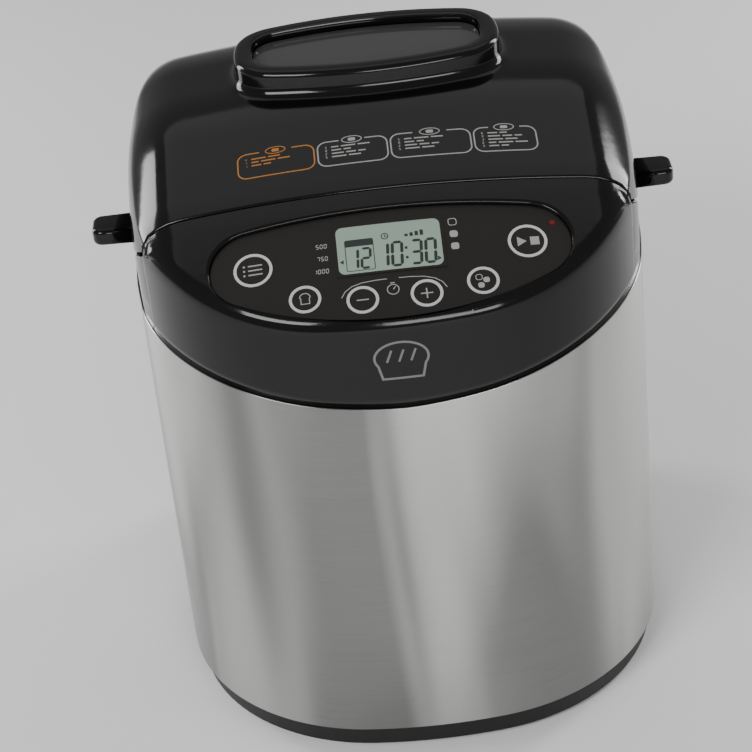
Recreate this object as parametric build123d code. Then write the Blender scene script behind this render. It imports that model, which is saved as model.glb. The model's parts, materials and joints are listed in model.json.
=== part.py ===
from build123d import *
import os
from math import cos, hypot, pi, radians, sin, sqrt, tan

# Bread machine, millimetres, +Z up, front towards -Y, origin under its middle on the table.

# ---- body outline in plan: tangent arcs, every wall is a parallel offset of it ----
BODY_W = 245.0
BODY_D = 270.0
SIDE_R = 318.0
FRONT_R = 258.0
CORNER_R = 100.0
FRONT = -BODY_D / 2
BACK = BODY_D / 2

# ---- roof line in side view, and the arch that is swept along it ----
SEAM_Y = FRONT + 65.0
SEAM_Z = 276.0
CONSOLE_SLOPE = 26.0
LID_SLOPE = 16.0
ROOF_Z = 295.5
TAIL_SLOPE = 50.0
TAIL_Y = BACK - 44.0
SEAM_BEND_R = 120.0
KNEE_BEND_R = 150.0
TAIL_BEND_R = 95.0
KNEE_Y = SEAM_Y + (ROOF_Z - SEAM_Z) / tan(radians(LID_SLOPE))
ARCH_HALF = BODY_W / 2 - 1.0
ARCH_CORNER_R = 32.0
CROWN_R = 810.0
ARCH_LEG = 80.0
ARCH_CLEAR = 150.0

# ---- walls and gaps ----
WALL = 2.8
STEEL_T = 0.8
SKIN = 0.4
GAP = 1.2
SLIP = 0.2
FIT = 0.05

# ---- heights of the lower body ----
BASE_Z = 2.5
STEEL_Z = 14.3
STEEL_TOP = 198.65
STEEL_RISE = 17.5
STEEL_POWER = 1.535
STEEL_GAP = 0.6
WRAP_END_Y = BACK - 38.0
BASE_INSET = 3.7
LIP_H = 8.0

# ---- deck and lid ----
DECK_Z = 223.5
PLATE = 2.5
SEAM_SIDE_Z = 254.0
SEAM_LOW_Y = SEAM_Y + 62.0
LID_REAR_Y = BACK - 20.0
BEAM_Y = LID_REAR_Y + 2.0
BEAM_Z = 232.0
HINGE_Y = BACK - 13.0
HINGE_Z = 240.0
KNUCKLE_R = 6.0
PIN_R = 2.0
KNUCKLE_X = 34.0
KNUCKLE_L = 12.0
LINER_Z = DECK_Z + GAP + 0.5

# ---- window ring on the lid ----
RING_W = 128.0
RING_D = 66.0
RING_TOP = 305.0
RING_SIDE_R = 60.0
RING_FRONT_R = 190.0
RING_CORNER_R = 22.0
RING_BAND = 9.0
RING_EDGE_R = 3.0
PANE_T = 2.5
PANE_DROP = 4.5

# ---- lifting tabs ----
TAB_REACH = 19.5
TAB_OUT = BODY_W / 2 + TAB_REACH
TAB_Y = SEAM_Y + 75.0
TAB_WIDE = 19.0
TAB_H = 8.5
TAB_EDGE_R = 2.4
TAB_CORNER_R = 5.0

# ---- control panel, in the plane of the console ----
PANEL_LOW = -4.6
PANEL_HIGH = 55.0
PANEL_TOP_R = 460.0
PANEL_BOTTOM_R = 150.0
PANEL_END_R = 20.0
PANEL_DEPTH = 2.4
PANEL_T = 2.0
PANEL_LEDGE = 3.0
LCD_W = 49.0
LCD_H = 27.0
LCD_S = 34.6
BIG_RING_R = 8.8
SMALL_RING_R = 7.2
RING_LINE = 1.35
BUTTON_TRAVEL = 0.8
BIG_X = 61.5
BIG_S = 31.0
MID_X = 39.5
MID_S = 11.6
NEAR_X = 14.2
NEAR_S = 7.6
LED_X = 73.6
LED_S = 40.2

# ---- oven, pan and drive ----
OVEN_SIDE = 25.5
OVEN_FRONT = 84.0
OVEN_BACK = 32.0
OVEN_W = BODY_W - 2 * OVEN_SIDE
OVEN_D = BODY_D - OVEN_FRONT - OVEN_BACK
OVEN_Y = BACK - OVEN_BACK - OVEN_D / 2
RING_Y = OVEN_Y + 3.0
OVEN_R = 30.0
OVEN_T = 0.8
OVEN_Z = 60.0
ELEMENT_R = 3.2
ELEMENT_IN = ELEMENT_R + 2.2
CLIP_IN = ELEMENT_IN + ELEMENT_R + 1.2
CLIP_Y = OVEN_D / 2 - 45.0
PAN_CLEAR = 0.7
PAN_T = 1.5
PAN_GAP = CLIP_IN + PAN_CLEAR + PAN_T
PAN_W = OVEN_W - 2 * PAN_GAP
PAN_D = OVEN_D - 2 * PAN_GAP
PAN_R = 26.0
PAN_Z = 76.0
PAN_TOP = 212.0
PAN_RIM = 4.0
CHASSIS_Z = 50.0
CHASSIS_T = 1.5
SHAFT_R = 4.0
MOTOR_X = 30.0
MOTOR_Y = FRONT + 41.0
MOTOR_R = 30.0
MOTOR_H = 62.0
BELT_Z = 34.0
BELT_H = 7.0
BIG_PULLEY_R = 44.0
SMALL_PULLEY_R = 8.0

UP = (0, 0, 1)


def save(name, shape):
    solids = shape.solids()
    body = solids[0] if len(solids) == 1 else Compound(children=list(solids))
    body.label = name
    export_step(body, os.path.join("parts", name + ".step"))
    return shape


# ---------------------------------------------------------------- outlines

def on_arc(centre, radius, first, last):
    """The arc between two points of a circle, by its shorter way."""
    mx = (first[0] + last[0]) / 2 - centre[0]
    my = (first[1] + last[1]) / 2 - centre[1]
    size = hypot(mx, my)
    middle = (centre[0] + mx / size * radius, centre[1] + my / size * radius)
    return ThreePointArc(first, middle, last)


def beyond(centre, through, radius):
    """The point of a circle in the direction of another point."""
    dx = through[0] - centre[0]
    dy = through[1] - centre[1]
    size = hypot(dx, dy)
    return (centre[0] + dx / size * radius, centre[1] + dy / size * radius)


def nested_centre(c1, r1, c2, r2, radius):
    """Centre of a circle that touches two larger ones from inside, on the +X side."""
    a = r1 - radius
    b = r2 - radius
    dx = c2[0] - c1[0]
    dy = c2[1] - c1[1]
    span = hypot(dx, dy)
    along = (a * a - b * b + span * span) / (2 * span)
    side = sqrt(a * a - along * along)
    px = c1[0] + dx / span * along
    py = c1[1] + dy / span * along
    left = (px - dy / span * side, py + dx / span * side)
    right = (px + dy / span * side, py - dx / span * side)
    return left if left[0] > right[0] else right


def four_arc_outline(width, depth, side_r, front_r, corner_r, inset):
    """A rounded rectangle with bowed sides: eight tangent arcs, offset inwards by inset."""
    side = (width / 2 - side_r, 0)
    front = (0, front_r - depth / 2)
    corner = nested_centre(side, side_r, front, front_r, corner_r)
    a = beyond(side, corner, side_r - inset)
    b = beyond(front, corner, front_r - inset)
    arcs = Curve()
    for sx in (1, -1):
        low = (sx * a[0], a[1])
        high = (sx * a[0], -a[1])
        arcs += on_arc((sx * side[0], 0), side_r - inset, low, high)
        for sy in (1, -1):
            first = (sx * a[0], sy * a[1])
            last = (sx * b[0], sy * b[1])
            arcs += on_arc((sx * corner[0], sy * corner[1]), corner_r - inset, first, last)
    for sy in (1, -1):
        first = (-b[0], sy * b[1])
        last = (b[0], sy * b[1])
        arcs += on_arc((0, sy * front[1]), front_r - inset, first, last)
    return make_face(arcs.edges())


def body_outline(inset):
    return four_arc_outline(BODY_W, BODY_D, SIDE_R, FRONT_R, CORNER_R, inset)


def ring_outline(inset):
    flat = four_arc_outline(RING_W, RING_D, RING_SIDE_R, RING_FRONT_R, RING_CORNER_R, inset)
    return Pos(0, RING_Y, 0) * flat


def panel_outline(inset):
    """Almond: a nearly flat upper arc, a deep lower arc, and round ends."""
    top = (0, PANEL_HIGH - PANEL_TOP_R)
    low = (0, PANEL_LOW + PANEL_BOTTOM_R)
    end = nested_centre(top, PANEL_TOP_R, low, PANEL_BOTTOM_R, PANEL_END_R)
    a = beyond(top, end, PANEL_TOP_R - inset)
    b = beyond(low, end, PANEL_BOTTOM_R - inset)
    tip = (end[0] + PANEL_END_R - inset, end[1])
    arcs = on_arc(top, PANEL_TOP_R - inset, (-a[0], a[1]), a)
    arcs += on_arc(low, PANEL_BOTTOM_R - inset, (-b[0], b[1]), b)
    arcs += ThreePointArc(a, tip, b)
    arcs += ThreePointArc((-a[0], a[1]), (-tip[0], tip[1]), (-b[0], b[1]))
    return make_face(arcs.edges())


def column(face, z0, z1):
    return extrude(Pos(0, 0, z0) * face, z1 - z0)


def box(x0, x1, y0, y1, z0, z1):
    centre = Pos((x0 + x1) / 2, (y0 + y1) / 2, (z0 + z1) / 2)
    return centre * Box(x1 - x0, y1 - y0, z1 - z0)


def round_box(width, depth, radius, y, z0, z1):
    return column(Pos(0, y, 0) * RectangleRounded(width, depth, radius), z0, z1)


def rod(x, y, z0, z1, radius):
    return Pos(x, y, (z0 + z1) / 2) * Cylinder(radius, z1 - z0)


def tube(x, y, z0, z1, outer, inner):
    return rod(x, y, z0, z1, outer) - rod(x, y, z0, z1, inner)


def cross_rod(y, z, x0, x1, radius):
    return Pos((x0 + x1) / 2, y, z) * Rot(0, 90, 0) * Cylinder(radius, abs(x1 - x0))


def prism(inset, z0, z1):
    return column(body_outline(inset), z0, z1)


# ---------------------------------------------------------------- roof

def roof_path():
    """The roof line: console slope, lid slope, level top and falling back, joined by arcs."""
    start_y = FRONT - 40.0
    start = (0, start_y, SEAM_Z - (SEAM_Y - start_y) * tan(radians(CONSOLE_SLOPE)))
    seam = (0, SEAM_Y, SEAM_Z)
    knee = (0, KNEE_Y, ROOF_Z)
    tail = (0, TAIL_Y, ROOF_Z)
    end_y = BACK + 20.0
    end = (0, end_y, ROOF_Z - (end_y - TAIL_Y) * tan(radians(TAIL_SLOPE)))
    level = TAIL_Y - KNEE_Y - KNEE_BEND_R * tan(radians(LID_SLOPE / 2))
    tail_bend = min(TAIL_BEND_R, 0.9 * level / tan(radians(TAIL_SLOPE / 2)))
    bends = [SEAM_BEND_R, KNEE_BEND_R, tail_bend]
    return FilletPolyline(start, seam, knee, tail, end, radius=bends)


def above_arch(inset):
    """The region over the arch, as a face whose local Y is square to the roof line."""
    half = ARCH_HALF - inset
    centre_x = ARCH_HALF - ARCH_CORNER_R
    centre_v = sqrt((CROWN_R - ARCH_CORNER_R) ** 2 - centre_x ** 2) - CROWN_R
    shoulder = beyond((0, -CROWN_R), (centre_x, centre_v), CROWN_R - inset)
    out = BODY_W / 2 + 30.0
    lines = on_arc((0, -CROWN_R), CROWN_R - inset, (-shoulder[0], shoulder[1]), shoulder)
    for s in (1, -1):
        top = (s * shoulder[0], shoulder[1])
        side = (s * half, centre_v)
        lines += on_arc((s * centre_x, centre_v), ARCH_CORNER_R - inset, top, side)
        lines += Line(side, (s * half, -ARCH_LEG))
        lines += Line((s * half, -ARCH_LEG), (s * out, -ARCH_LEG))
        lines += Line((s * out, -ARCH_LEG), (s * out, ARCH_CLEAR))
    lines += Line((-out, ARCH_CLEAR), (out, ARCH_CLEAR))
    return make_face(lines.edges())


def above_roof(inset):
    path = roof_path()
    start = path @ 0
    plane = Plane(origin=start, x_dir=(1, 0, 0), z_dir=(path % 0) * -1)
    return sweep(plane * above_arch(inset), path=path)


ROOF_CUT = {}


def roofed(inset, z0):
    """The whole body's form above z0, every face moved inwards by inset."""
    if inset not in ROOF_CUT:
        ROOF_CUT[inset] = above_roof(inset)
    return prism(inset, z0, RING_TOP + 20) - ROOF_CUT[inset]


def side_face(points):
    return Plane.YZ * make_face(Polyline(*points, close=True).edges())


def side_zone(points, half=BODY_W):
    return extrude(side_face(points), half, both=True)


TOP = RING_TOP + 60.0


def lid_zone(gap):
    """Side view of where the lid is: behind the seam and above its slanting side edge."""
    y0 = SEAM_Y + gap
    low = DECK_Z + gap
    points = [(y0, TOP), (y0, SEAM_SIDE_Z + gap), (SEAM_LOW_Y + gap, low), (BEAM_Y, low)]
    points += [(BEAM_Y, BEAM_Z), (BACK + 50, BEAM_Z), (BACK + 50, TOP)]
    return side_zone(points)


def bay_zone(grow):
    """The open bay of the housing under the lid, grown downwards and outwards by grow."""
    y0 = SEAM_Y - grow
    low = DECK_Z - grow
    rear = BEAM_Y + grow
    top = BEAM_Z - grow
    points = [(y0, TOP), (y0, low), (rear, low), (rear, top), (BACK + 50, top), (BACK + 50, TOP)]
    return side_zone(points)


# ---------------------------------------------------------------- console plane

PANEL_PLANE = Plane(
    origin=(0, SEAM_Y - 59.0, SEAM_Z - 59.0 * tan(radians(CONSOLE_SLOPE))),
    x_dir=(1, 0, 0),
    z_dir=(0, -sin(radians(CONSOLE_SLOPE)), cos(radians(CONSOLE_SLOPE))),
)


def panel_column(face, low, high):
    return extrude(PANEL_PLANE * Pos(0, 0, low) * face, high - low)


def panel_layer(face, top, bottom):
    """What a column cuts out of the console between two depths below its crowned face."""
    shape = panel_column(face, -bottom - 12, 12)
    return (shape & roofed(top, BEAM_Z)) - roofed(bottom, BEAM_Z - 1)


BUTTONS = {
    "menu_button": (-BIG_X, BIG_S, BIG_RING_R),
    "start_button": (BIG_X, BIG_S, BIG_RING_R),
    "loaf_button": (-MID_X, MID_S, SMALL_RING_R),
    "crust_button": (MID_X, MID_S, SMALL_RING_R),
    "minus_button": (-NEAR_X, NEAR_S, SMALL_RING_R),
    "plus_button": (NEAR_X, NEAR_S, SMALL_RING_R),
}
BOARD_DEPTH = 17.0
BOARD_T = 1.6
SWITCH_H = 4.0


def disc(name, radius):
    x, s, ring = BUTTONS[name]
    return Pos(x, s) * Circle(radius)


# ---------------------------------------------------------------- outer skins

def steel_zone(outer, inner, gap):
    """A wall between two offsets of the body, up to the bowed top edge of the steel."""
    high = STEEL_TOP + STEEL_RISE + 10
    wall = prism(outer, STEEL_Z, high) - prism(inner, STEEL_Z - 1, high + 1)
    half = BODY_W / 2 + 5
    steps = 8
    edge = []
    for i in range(-steps, steps + 1):
        x = half * i / steps
        edge.append((x, STEEL_TOP + STEEL_RISE * (abs(x) * 2 / BODY_W) ** STEEL_POWER + gap))
    lines = Spline(*edge)
    lines += Polyline(edge[-1], (half, high + 40), (-half, high + 40), edge[0])
    above = extrude(Plane.XZ * make_face(lines.edges()), BODY_D, both=True)
    return wall - above


def steel_wrap():
    wrap = steel_zone(0, STEEL_T, 0)
    return wrap - box(-BODY_W, BODY_W, WRAP_END_Y, BODY_D, 0, RING_TOP)


def base_tray():
    tray = prism(BASE_INSET, BASE_Z, STEEL_Z) + prism(STEEL_T, STEEL_Z - 2, STEEL_Z)
    tray += prism(STEEL_T, STEEL_Z, STEEL_Z + LIP_H)
    hollow = prism(BASE_INSET + PLATE, BASE_Z + PLATE, STEEL_Z + LIP_H + 1)
    hollow += prism(STEEL_T + PLATE, STEEL_Z + 1, STEEL_Z + LIP_H + 1)
    tray -= hollow
    for x, y in POSTS:
        tray += rod(x, y, BASE_Z, CHASSIS_Z, POST_R)
        tray -= rod(x, y, CHASSIS_Z - 14, CHASSIS_Z, SCREW_R)
    for x, y in FEET:
        tray -= rod(x, y, BASE_Z, BASE_Z + 1.2, FOOT_R)
    slot = box(-VENT_L / 2, VENT_L / 2, -1.5, 1.5, BASE_Z - 1, BASE_Z + PLATE + 1)
    for i in range(VENTS):
        tray -= Pos(MOTOR_X, MOTOR_Y + (i - (VENTS - 1) / 2) * 6.0, 0) * slot
    return tray


FOOT_R = 9.0
FEET = [(x, y) for x in (-75, 75) for y in (FRONT + 50, BACK - 50)]
POST_R = 6.0
SCREW_R = 1.75
POSTS = [(x, y) for x in (-BODY_W / 2 + 27, BODY_W / 2 - 27) for y in (FRONT + 62, BACK - 62)]
VENT_L = 44.0
VENTS = 7


def rubber_feet():
    feet = Part()
    for x, y in FEET:
        foot = rod(x, y, 0, BASE_Z + 1.2, FOOT_R)
        feet += chamfer(foot.edges().sort_by(Axis.Z)[0], 1.0)
    return feet


def rear_cover():
    cover = steel_zone(0, PLATE, 0)
    cover &= box(-BODY_W, BODY_W, WRAP_END_Y + 0.3, BODY_D, 0, RING_TOP)
    cover -= prism(STEEL_T, 0, STEEL_Z + LIP_H)
    slot = box(-VENT_L / 2, VENT_L / 2, BACK - 12, BACK + 5, -2.0, 2.0)
    for row in range(REAR_VENTS):
        for x in (-VENT_L / 2 - 6, VENT_L / 2 + 6):
            cover -= Pos(x, 0, VENT_Z + row * 9.0) * slot
    cover -= Pos(GLAND_X, BACK, GLAND_Z) * Rot(90, 0, 0) * Cylinder(GLAND_R, 30)
    for x, z in REAR_SCREWS:
        turned = Pos(x, outline_back(x), z) * Rot(90, 0, 0)
        cover -= turned * Cylinder(SCREW_R, 30) + Pos(0, -0.2, 0) * turned * Cylinder(3.0, 2.4)
    return cover


REAR_VENTS = 8
REAR_SCREWS = [(x, z) for x in (-66, 66) for z in (STEEL_Z + 18, STEEL_TOP - 10)]
VENT_Z = 120.0
GLAND_X = -55.0
GLAND_Z = 42.0
GLAND_R = 6.0


def outline_back(x):
    """Where the rear of the body is at a given x, on its corner arc."""
    corner = nested_centre((BODY_W / 2 - SIDE_R, 0), SIDE_R, (0, BACK - FRONT_R), FRONT_R, CORNER_R)
    return corner[1] + sqrt(CORNER_R ** 2 - (abs(x) - corner[0]) ** 2)


def cord_gland():
    y = outline_back(GLAND_X)
    turned = Pos(GLAND_X, y, GLAND_Z) * Rot(90, 0, 0)
    flange = Pos(0, 0.4, 0) * turned * Cylinder(GLAND_R + 2.5, 7.0) - prism(0, 0, STEEL_TOP)
    body = Pos(0, -4, 0) * turned * Cylinder(GLAND_R, 12) + flange
    body += Pos(0, -PLATE - 5.4, 0) * turned * Cylinder(GLAND_R + 2.0, 3.0)
    return body - turned * Cylinder(GLAND_R - 2.4, 40)


def upper_housing():
    skirt_z = STEEL_TOP - 14
    shell = roofed(SKIN, skirt_z) - steel_zone(-1, STEEL_T + SLIP, STEEL_GAP)
    shell -= roofed(SKIN + WALL, skirt_z - 5)
    shell -= lid_zone(0)
    rear = box(-BODY_W, BODY_W, WRAP_END_Y - 2, BODY_D, 0, RING_TOP)
    shell -= steel_zone(-1, SKIN + WALL + 1, STEEL_GAP) & rear
    shell += (bay_zone(PLATE) - bay_zone(0)) & roofed(SKIN, DECK_Z - 20)
    shell -= round_box(OVEN_W, OVEN_D, OVEN_R, OVEN_Y, DECK_Z - 10, DECK_Z + 5)
    seat = panel_layer(panel_outline(-PANEL_LEDGE), SKIN + 1, PANEL_DEPTH + PANEL_T + 2.0)
    seat -= panel_column(panel_outline(PANEL_LEDGE), -30, 30)
    shell += seat & prism(SKIN + 0.5, DECK_Z - 30, RING_TOP)
    pocket = panel_column(panel_outline(0), -20, 20) - below_roof(PANEL_DEPTH + PANEL_T)
    shell -= pocket
    for s in (1, -1):
        x0 = s * (KNUCKLE_X + KNUCKLE_L + 1)
        x1 = x0 + s * KNUCKLE_L
        ear = cross_rod(HINGE_Y, HINGE_Z, x0, x1, KNUCKLE_R)
        ear += box(min(x0, x1), max(x0, x1), HINGE_Y - 3, HINGE_Y + 5, BEAM_Z - 1, HINGE_Z)
        shell += ear - cross_rod(HINGE_Y, HINGE_Z, x0, x1, PIN_R)
    for x, y in STAYS:
        shell += rod(x, y, DECK_Z - 16, DECK_Z - PLATE, POST_R - 1)
        shell -= rod(x, y, DECK_Z - 17, DECK_Z - 4, SCREW_R)
    return shell


def below_roof(inset):
    return roofed(inset, DECK_Z - 40)


STAYS = [(x, y) for x in (-BODY_W / 2 + 14.5, BODY_W / 2 - 14.5) for y in (OVEN_Y - 40, OVEN_Y + 14)]


# ---------------------------------------------------------------- lid

def lid_shell():
    outer = roofed(SKIN, DECK_Z) & lid_zone(GAP)
    outer &= box(-BODY_W, BODY_W, -BODY_D, LID_REAR_Y, 0, TOP)
    front = SEAM_Y + GAP
    hollow = roofed(SKIN + WALL, DECK_Z - 5)
    hollow &= box(-BODY_W, BODY_W, front + PLATE, LID_REAR_Y - PLATE, 0, TOP)
    ring = column(ring_outline(0), ROOF_Z - 12, RING_TOP)
    rim = ring.edges().filter_by_position(Axis.Z, RING_TOP - 0.01, RING_TOP + 0.01)
    outer += fillet(rim, RING_EDGE_R)
    outer -= hollow
    inside = box(-BODY_W, BODY_W, front, front + PLATE, LINER_Z - 0.5, TOP)
    outer += inside & roofed(SKIN + WALL + 0.6, DECK_Z)
    outer -= column(ring_outline(RING_BAND), RING_TOP - PANE_DROP - PANE_T, RING_TOP + 1)
    outer -= column(ring_outline(RING_BAND + 3), DECK_Z, RING_TOP + 1)
    for s in (1, -1):
        x0 = s * KNUCKLE_X
        x1 = x0 + s * KNUCKLE_L
        arm = cross_rod(HINGE_Y, HINGE_Z, x0, x1, KNUCKLE_R)
        arm += box(min(x0, x1), max(x0, x1), LID_REAR_Y - 1, HINGE_Y, HINGE_Z - 3, HINGE_Z + KNUCKLE_R)
        outer += arm - cross_rod(HINGE_Y, HINGE_Z, x0, x1, PIN_R + FIT)
        outer -= tab_tongue(s)
    return outer


def hinge_pins():
    pins = Part()
    for s in (1, -1):
        x0 = s * KNUCKLE_X
        pins += cross_rod(HINGE_Y, HINGE_Z, x0, x0 + s * (2 * KNUCKLE_L + 1), PIN_R)
    return pins


def window_pane():
    high = RING_TOP - PANE_DROP
    return column(ring_outline(RING_BAND + SLIP), high - PANE_T + 0.6, high)


def window_gasket():
    low = RING_TOP - PANE_DROP - PANE_T
    band = ring_outline(RING_BAND + SLIP) - ring_outline(RING_BAND + 3)
    return column(band, low, low + 0.6)


def tab_tongue(side):
    x0 = side * (ARCH_HALF - WALL - 4)
    x1 = side * (ARCH_HALF + 1)
    z = DECK_Z + GAP + 0.8 + TAB_H / 2
    return box(min(x0, x1), max(x0, x1), TAB_Y - 6, TAB_Y + 6, z - 2, z + 2)


def lid_tab(side):
    x0 = ARCH_HALF - SKIN
    z = DECK_Z + GAP + 0.8
    half = TAB_WIDE / 2
    outline = Polyline(
        (x0, TAB_Y - half), (TAB_OUT, TAB_Y - half + 0.8), (TAB_OUT, TAB_Y + half - 0.8),
        (x0, TAB_Y + half), close=True,
    )
    tab = column(make_face(outline.edges()), z, z + TAB_H)
    corners = tab.edges().filter_by(Axis.Z).sort_by(Axis.X)[-2:]
    tab = fillet(corners, TAB_CORNER_R)
    tab = fillet(tab.faces().sort_by(Axis.Z)[-1].edges().sort_by(Axis.X)[1:], TAB_EDGE_R)
    tab = fillet(tab.faces().sort_by(Axis.Z)[0].edges().sort_by(Axis.X)[1:], TAB_EDGE_R)
    tab += tab_tongue(1)
    return tab if side > 0 else mirror(tab, Plane.YZ)


RECESS_W = PAN_W + 2 * (PAN_T + PAN_RIM) + 14.0
RECESS_D = PAN_D + 2 * (PAN_T + PAN_RIM) + 9.0
RECESS_TOP = 260.0
LINER_T = 1.5
INNER_PANE_W = 112.0
INNER_PANE_D = 62.0


def lid_liner():
    flat = roofed(SKIN + WALL + 0.6, LINER_Z) & prism(0, LINER_Z, LINER_Z + LINER_T)
    front = SEAM_Y + GAP + PLATE
    flat &= box(-BODY_W, BODY_W, front, LID_REAR_Y - PLATE, 0, TOP)
    r = OVEN_R - 4
    raised = round_box(RECESS_W + 2 * LINER_T, RECESS_D + 2 * LINER_T, r + LINER_T, OVEN_Y,
                       LINER_Z, RECESS_TOP + LINER_T)
    flat += raised
    flat -= round_box(RECESS_W, RECESS_D, r, OVEN_Y, LINER_Z - 1, RECESS_TOP)
    flat -= round_box(INNER_PANE_W - 6, INNER_PANE_D - 6, 8, RING_Y, LINER_Z, RECESS_TOP + 5)
    return flat


def inner_pane():
    z = RECESS_TOP + LINER_T
    return round_box(INNER_PANE_W, INNER_PANE_D, 10, RING_Y, z, z + 3.0)


def lid_seal():
    band = RectangleRounded(RECESS_W + 10, RECESS_D + 10, OVEN_R)
    band -= RectangleRounded(RECESS_W, RECESS_D, OVEN_R - 4)
    seal = column(Pos(0, OVEN_Y, 0) * band, DECK_Z + 0.3, LINER_Z)
    return seal & prism(SKIN + WALL + GAP, DECK_Z, LINER_Z)


# ---------------------------------------------------------------- control panel

def control_panel():
    panel = panel_layer(panel_outline(SLIP), PANEL_DEPTH, PANEL_DEPTH + PANEL_T)
    for name in BUTTONS:
        ring = BUTTONS[name][2]
        panel -= panel_column(disc(name, ring - RING_LINE + SLIP), -20, 20)
        panel -= ring_zone(name)
    panel -= panel_column(Pos(0, LCD_S) * Rectangle(LCD_W, LCD_H), -20, 20)
    panel -= panel_column(Pos(LED_X, LED_S) * Circle(LED_R), -20, 20)
    for x, s in BOARD_SCREWS:
        post = panel_column(Pos(x, s) * Circle(3.4), -BOARD_DEPTH, 0) & roofed(PANEL_DEPTH + 0.5, BEAM_Z)
        panel += post
        panel -= panel_column(Pos(x, s) * Circle(BOARD_SCREW_R), -BOARD_DEPTH - 1, -BOARD_DEPTH + 7)
    return panel


def ring_zone(name):
    ring = BUTTONS[name][2]
    band = disc(name, ring) - disc(name, ring - RING_LINE)
    return panel_layer(band, PANEL_DEPTH - 0.25, PANEL_DEPTH + 0.9)


def button_rings():
    rings = Part()
    for name in BUTTONS:
        rings += ring_zone(name)
    return rings


def button(name):
    ring = BUTTONS[name][2]
    cap = panel_column(disc(name, ring - RING_LINE - SLIP), -6.5, 6)
    cap &= roofed(PANEL_DEPTH - 0.1, BEAM_Z)
    cap -= panel_column(disc(name, ring - RING_LINE - 1.6), -7, -PANEL_DEPTH - 3.5 - CROWN_DROP[name])
    stem_low = -BOARD_DEPTH + SWITCH_H + 0.25
    stem = panel_column(disc(name, 1.8), stem_low, -PANEL_DEPTH - 1.5 - CROWN_DROP[name])
    return cap + stem


CROWN_DROP = {name: BUTTONS[name][0] ** 2 / (2 * CROWN_R) for name in BUTTONS}


def lcd_window():
    face = Pos(0, LCD_S) * Rectangle(LCD_W - 2 * FIT, LCD_H - 2 * FIT)
    return panel_layer(face, PANEL_DEPTH - 0.2, PANEL_DEPTH + 1.3)


def lcd_module():
    face = Pos(0, LCD_S) * Rectangle(LCD_W - 1, LCD_H - 1)
    glass = panel_column(face, -PANEL_DEPTH - 5.5, -PANEL_DEPTH - 2.0)
    frame = panel_column(Pos(0, LCD_S) * Rectangle(LCD_W + 7, LCD_H + 4), -BOARD_DEPTH, -PANEL_DEPTH - 5.5)
    return glass + frame


def led_lens():
    lens = panel_column(Pos(LED_X, LED_S) * Circle(LED_R - FIT), -BOARD_DEPTH, 5)
    return lens & roofed(PANEL_DEPTH - 0.3, DECK_Z - 40)


def control_board():
    plate = panel_column(panel_outline(PANEL_LEDGE + 0.5), -BOARD_DEPTH - BOARD_T, -BOARD_DEPTH)
    for x, s in BOARD_SCREWS:
        plate -= panel_column(Pos(x, s) * Circle(BOARD_SCREW_R), -BOARD_DEPTH - 3, 0)
    return plate


BOARD_SCREWS = [(-64, 43), (64, 43), (-52, 13), (52, 13)]
BOARD_SCREW_R = 1.25
LED_R = 1.3


def board_screws():
    screws = Part()
    for x, s in BOARD_SCREWS:
        low = -BOARD_DEPTH - BOARD_T
        screws += panel_column(Pos(x, s) * Circle(2.4), low - 1.8, low)
        screws += panel_column(Pos(x, s) * Circle(BOARD_SCREW_R), low, -BOARD_DEPTH + 7)
    return screws


def tact_switches():
    parts = Part()
    for name in BUTTONS:
        x, s, ring = BUTTONS[name]
        parts += panel_column(Pos(x, s) * Rectangle(6, 6), -BOARD_DEPTH, -BOARD_DEPTH + SWITCH_H - 1)
        parts += panel_column(Pos(x, s) * Circle(1.7), -BOARD_DEPTH, -BOARD_DEPTH + SWITCH_H - 0.75)
    return parts


# ---------------------------------------------------------------- oven

def oven_liner():
    top = DECK_Z - PLATE
    r = OVEN_R
    liner = round_box(OVEN_W + 2 * OVEN_T, OVEN_D + 2 * OVEN_T, r + OVEN_T, OVEN_Y, OVEN_Z - OVEN_T, top)
    flange = round_box(OVEN_W + 12, OVEN_D + 12, r + 6, OVEN_Y, top - 1.0, top)
    liner += flange & prism(SKIN + WALL + SLIP, top - 1.0, top)
    liner -= round_box(OVEN_W, OVEN_D, r, OVEN_Y, OVEN_Z, top + 1)
    liner -= rod(0, OVEN_Y, OVEN_Z - 5, OVEN_Z + 5, HUB_R + 1.5)
    for x, y in SOCKET_SCREWS:
        liner -= rod(x, y, OVEN_Z - 5, OVEN_Z + 5, SCREW_R)
    for s in (1, -1):
        hole = Pos(s * ELEMENT_TAIL_X, OVEN_Y - OVEN_D / 2, ELEMENT_Z) * Rot(90, 0, 0)
        liner -= hole * Cylinder(ELEMENT_R + SLIP, 8)
    probe = Pos(0, OVEN_Y - OVEN_D / 2, PROBE_Z) * Rot(90, 0, 0)
    liner -= probe * Cylinder(PROBE_R, 8)
    return liner


HUB_R = 16.0
ELEMENT_Z = 92.0
ELEMENT_TAIL_X = 22.0
ELEMENT_FRONT = OVEN_Y - OVEN_D / 2 + ELEMENT_IN
PROBE_Z = 120.0
PROBE_R = 2.5
SOCKET_R = 40.0
SOCKET_SCREWS = [(x, OVEN_Y + y) for x in (-20, 20) for y in (-20, 20)]


def heating_element():
    """One bar around the pan, its two cold ends leaving through the front wall."""
    half_w = OVEN_W / 2 - ELEMENT_IN
    back = OVEN_Y + OVEN_D / 2 - ELEMENT_IN
    front = ELEMENT_FRONT
    out = front - 16.0
    tail = ELEMENT_TAIL_X
    z = ELEMENT_Z
    points = [(-tail, out, z), (-tail, front, z), (-half_w, front, z), (-half_w, back, z)]
    points += [(half_w, back, z), (half_w, front, z), (tail, front, z), (tail, out, z)]
    bends = [4.5, 24.0, 24.0, 24.0, 24.0, 4.5]
    path = FilletPolyline(*points, radius=bends)
    plane = Plane(origin=path @ 0, z_dir=path % 0)
    return sweep(plane * Circle(ELEMENT_R), path=path)


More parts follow.
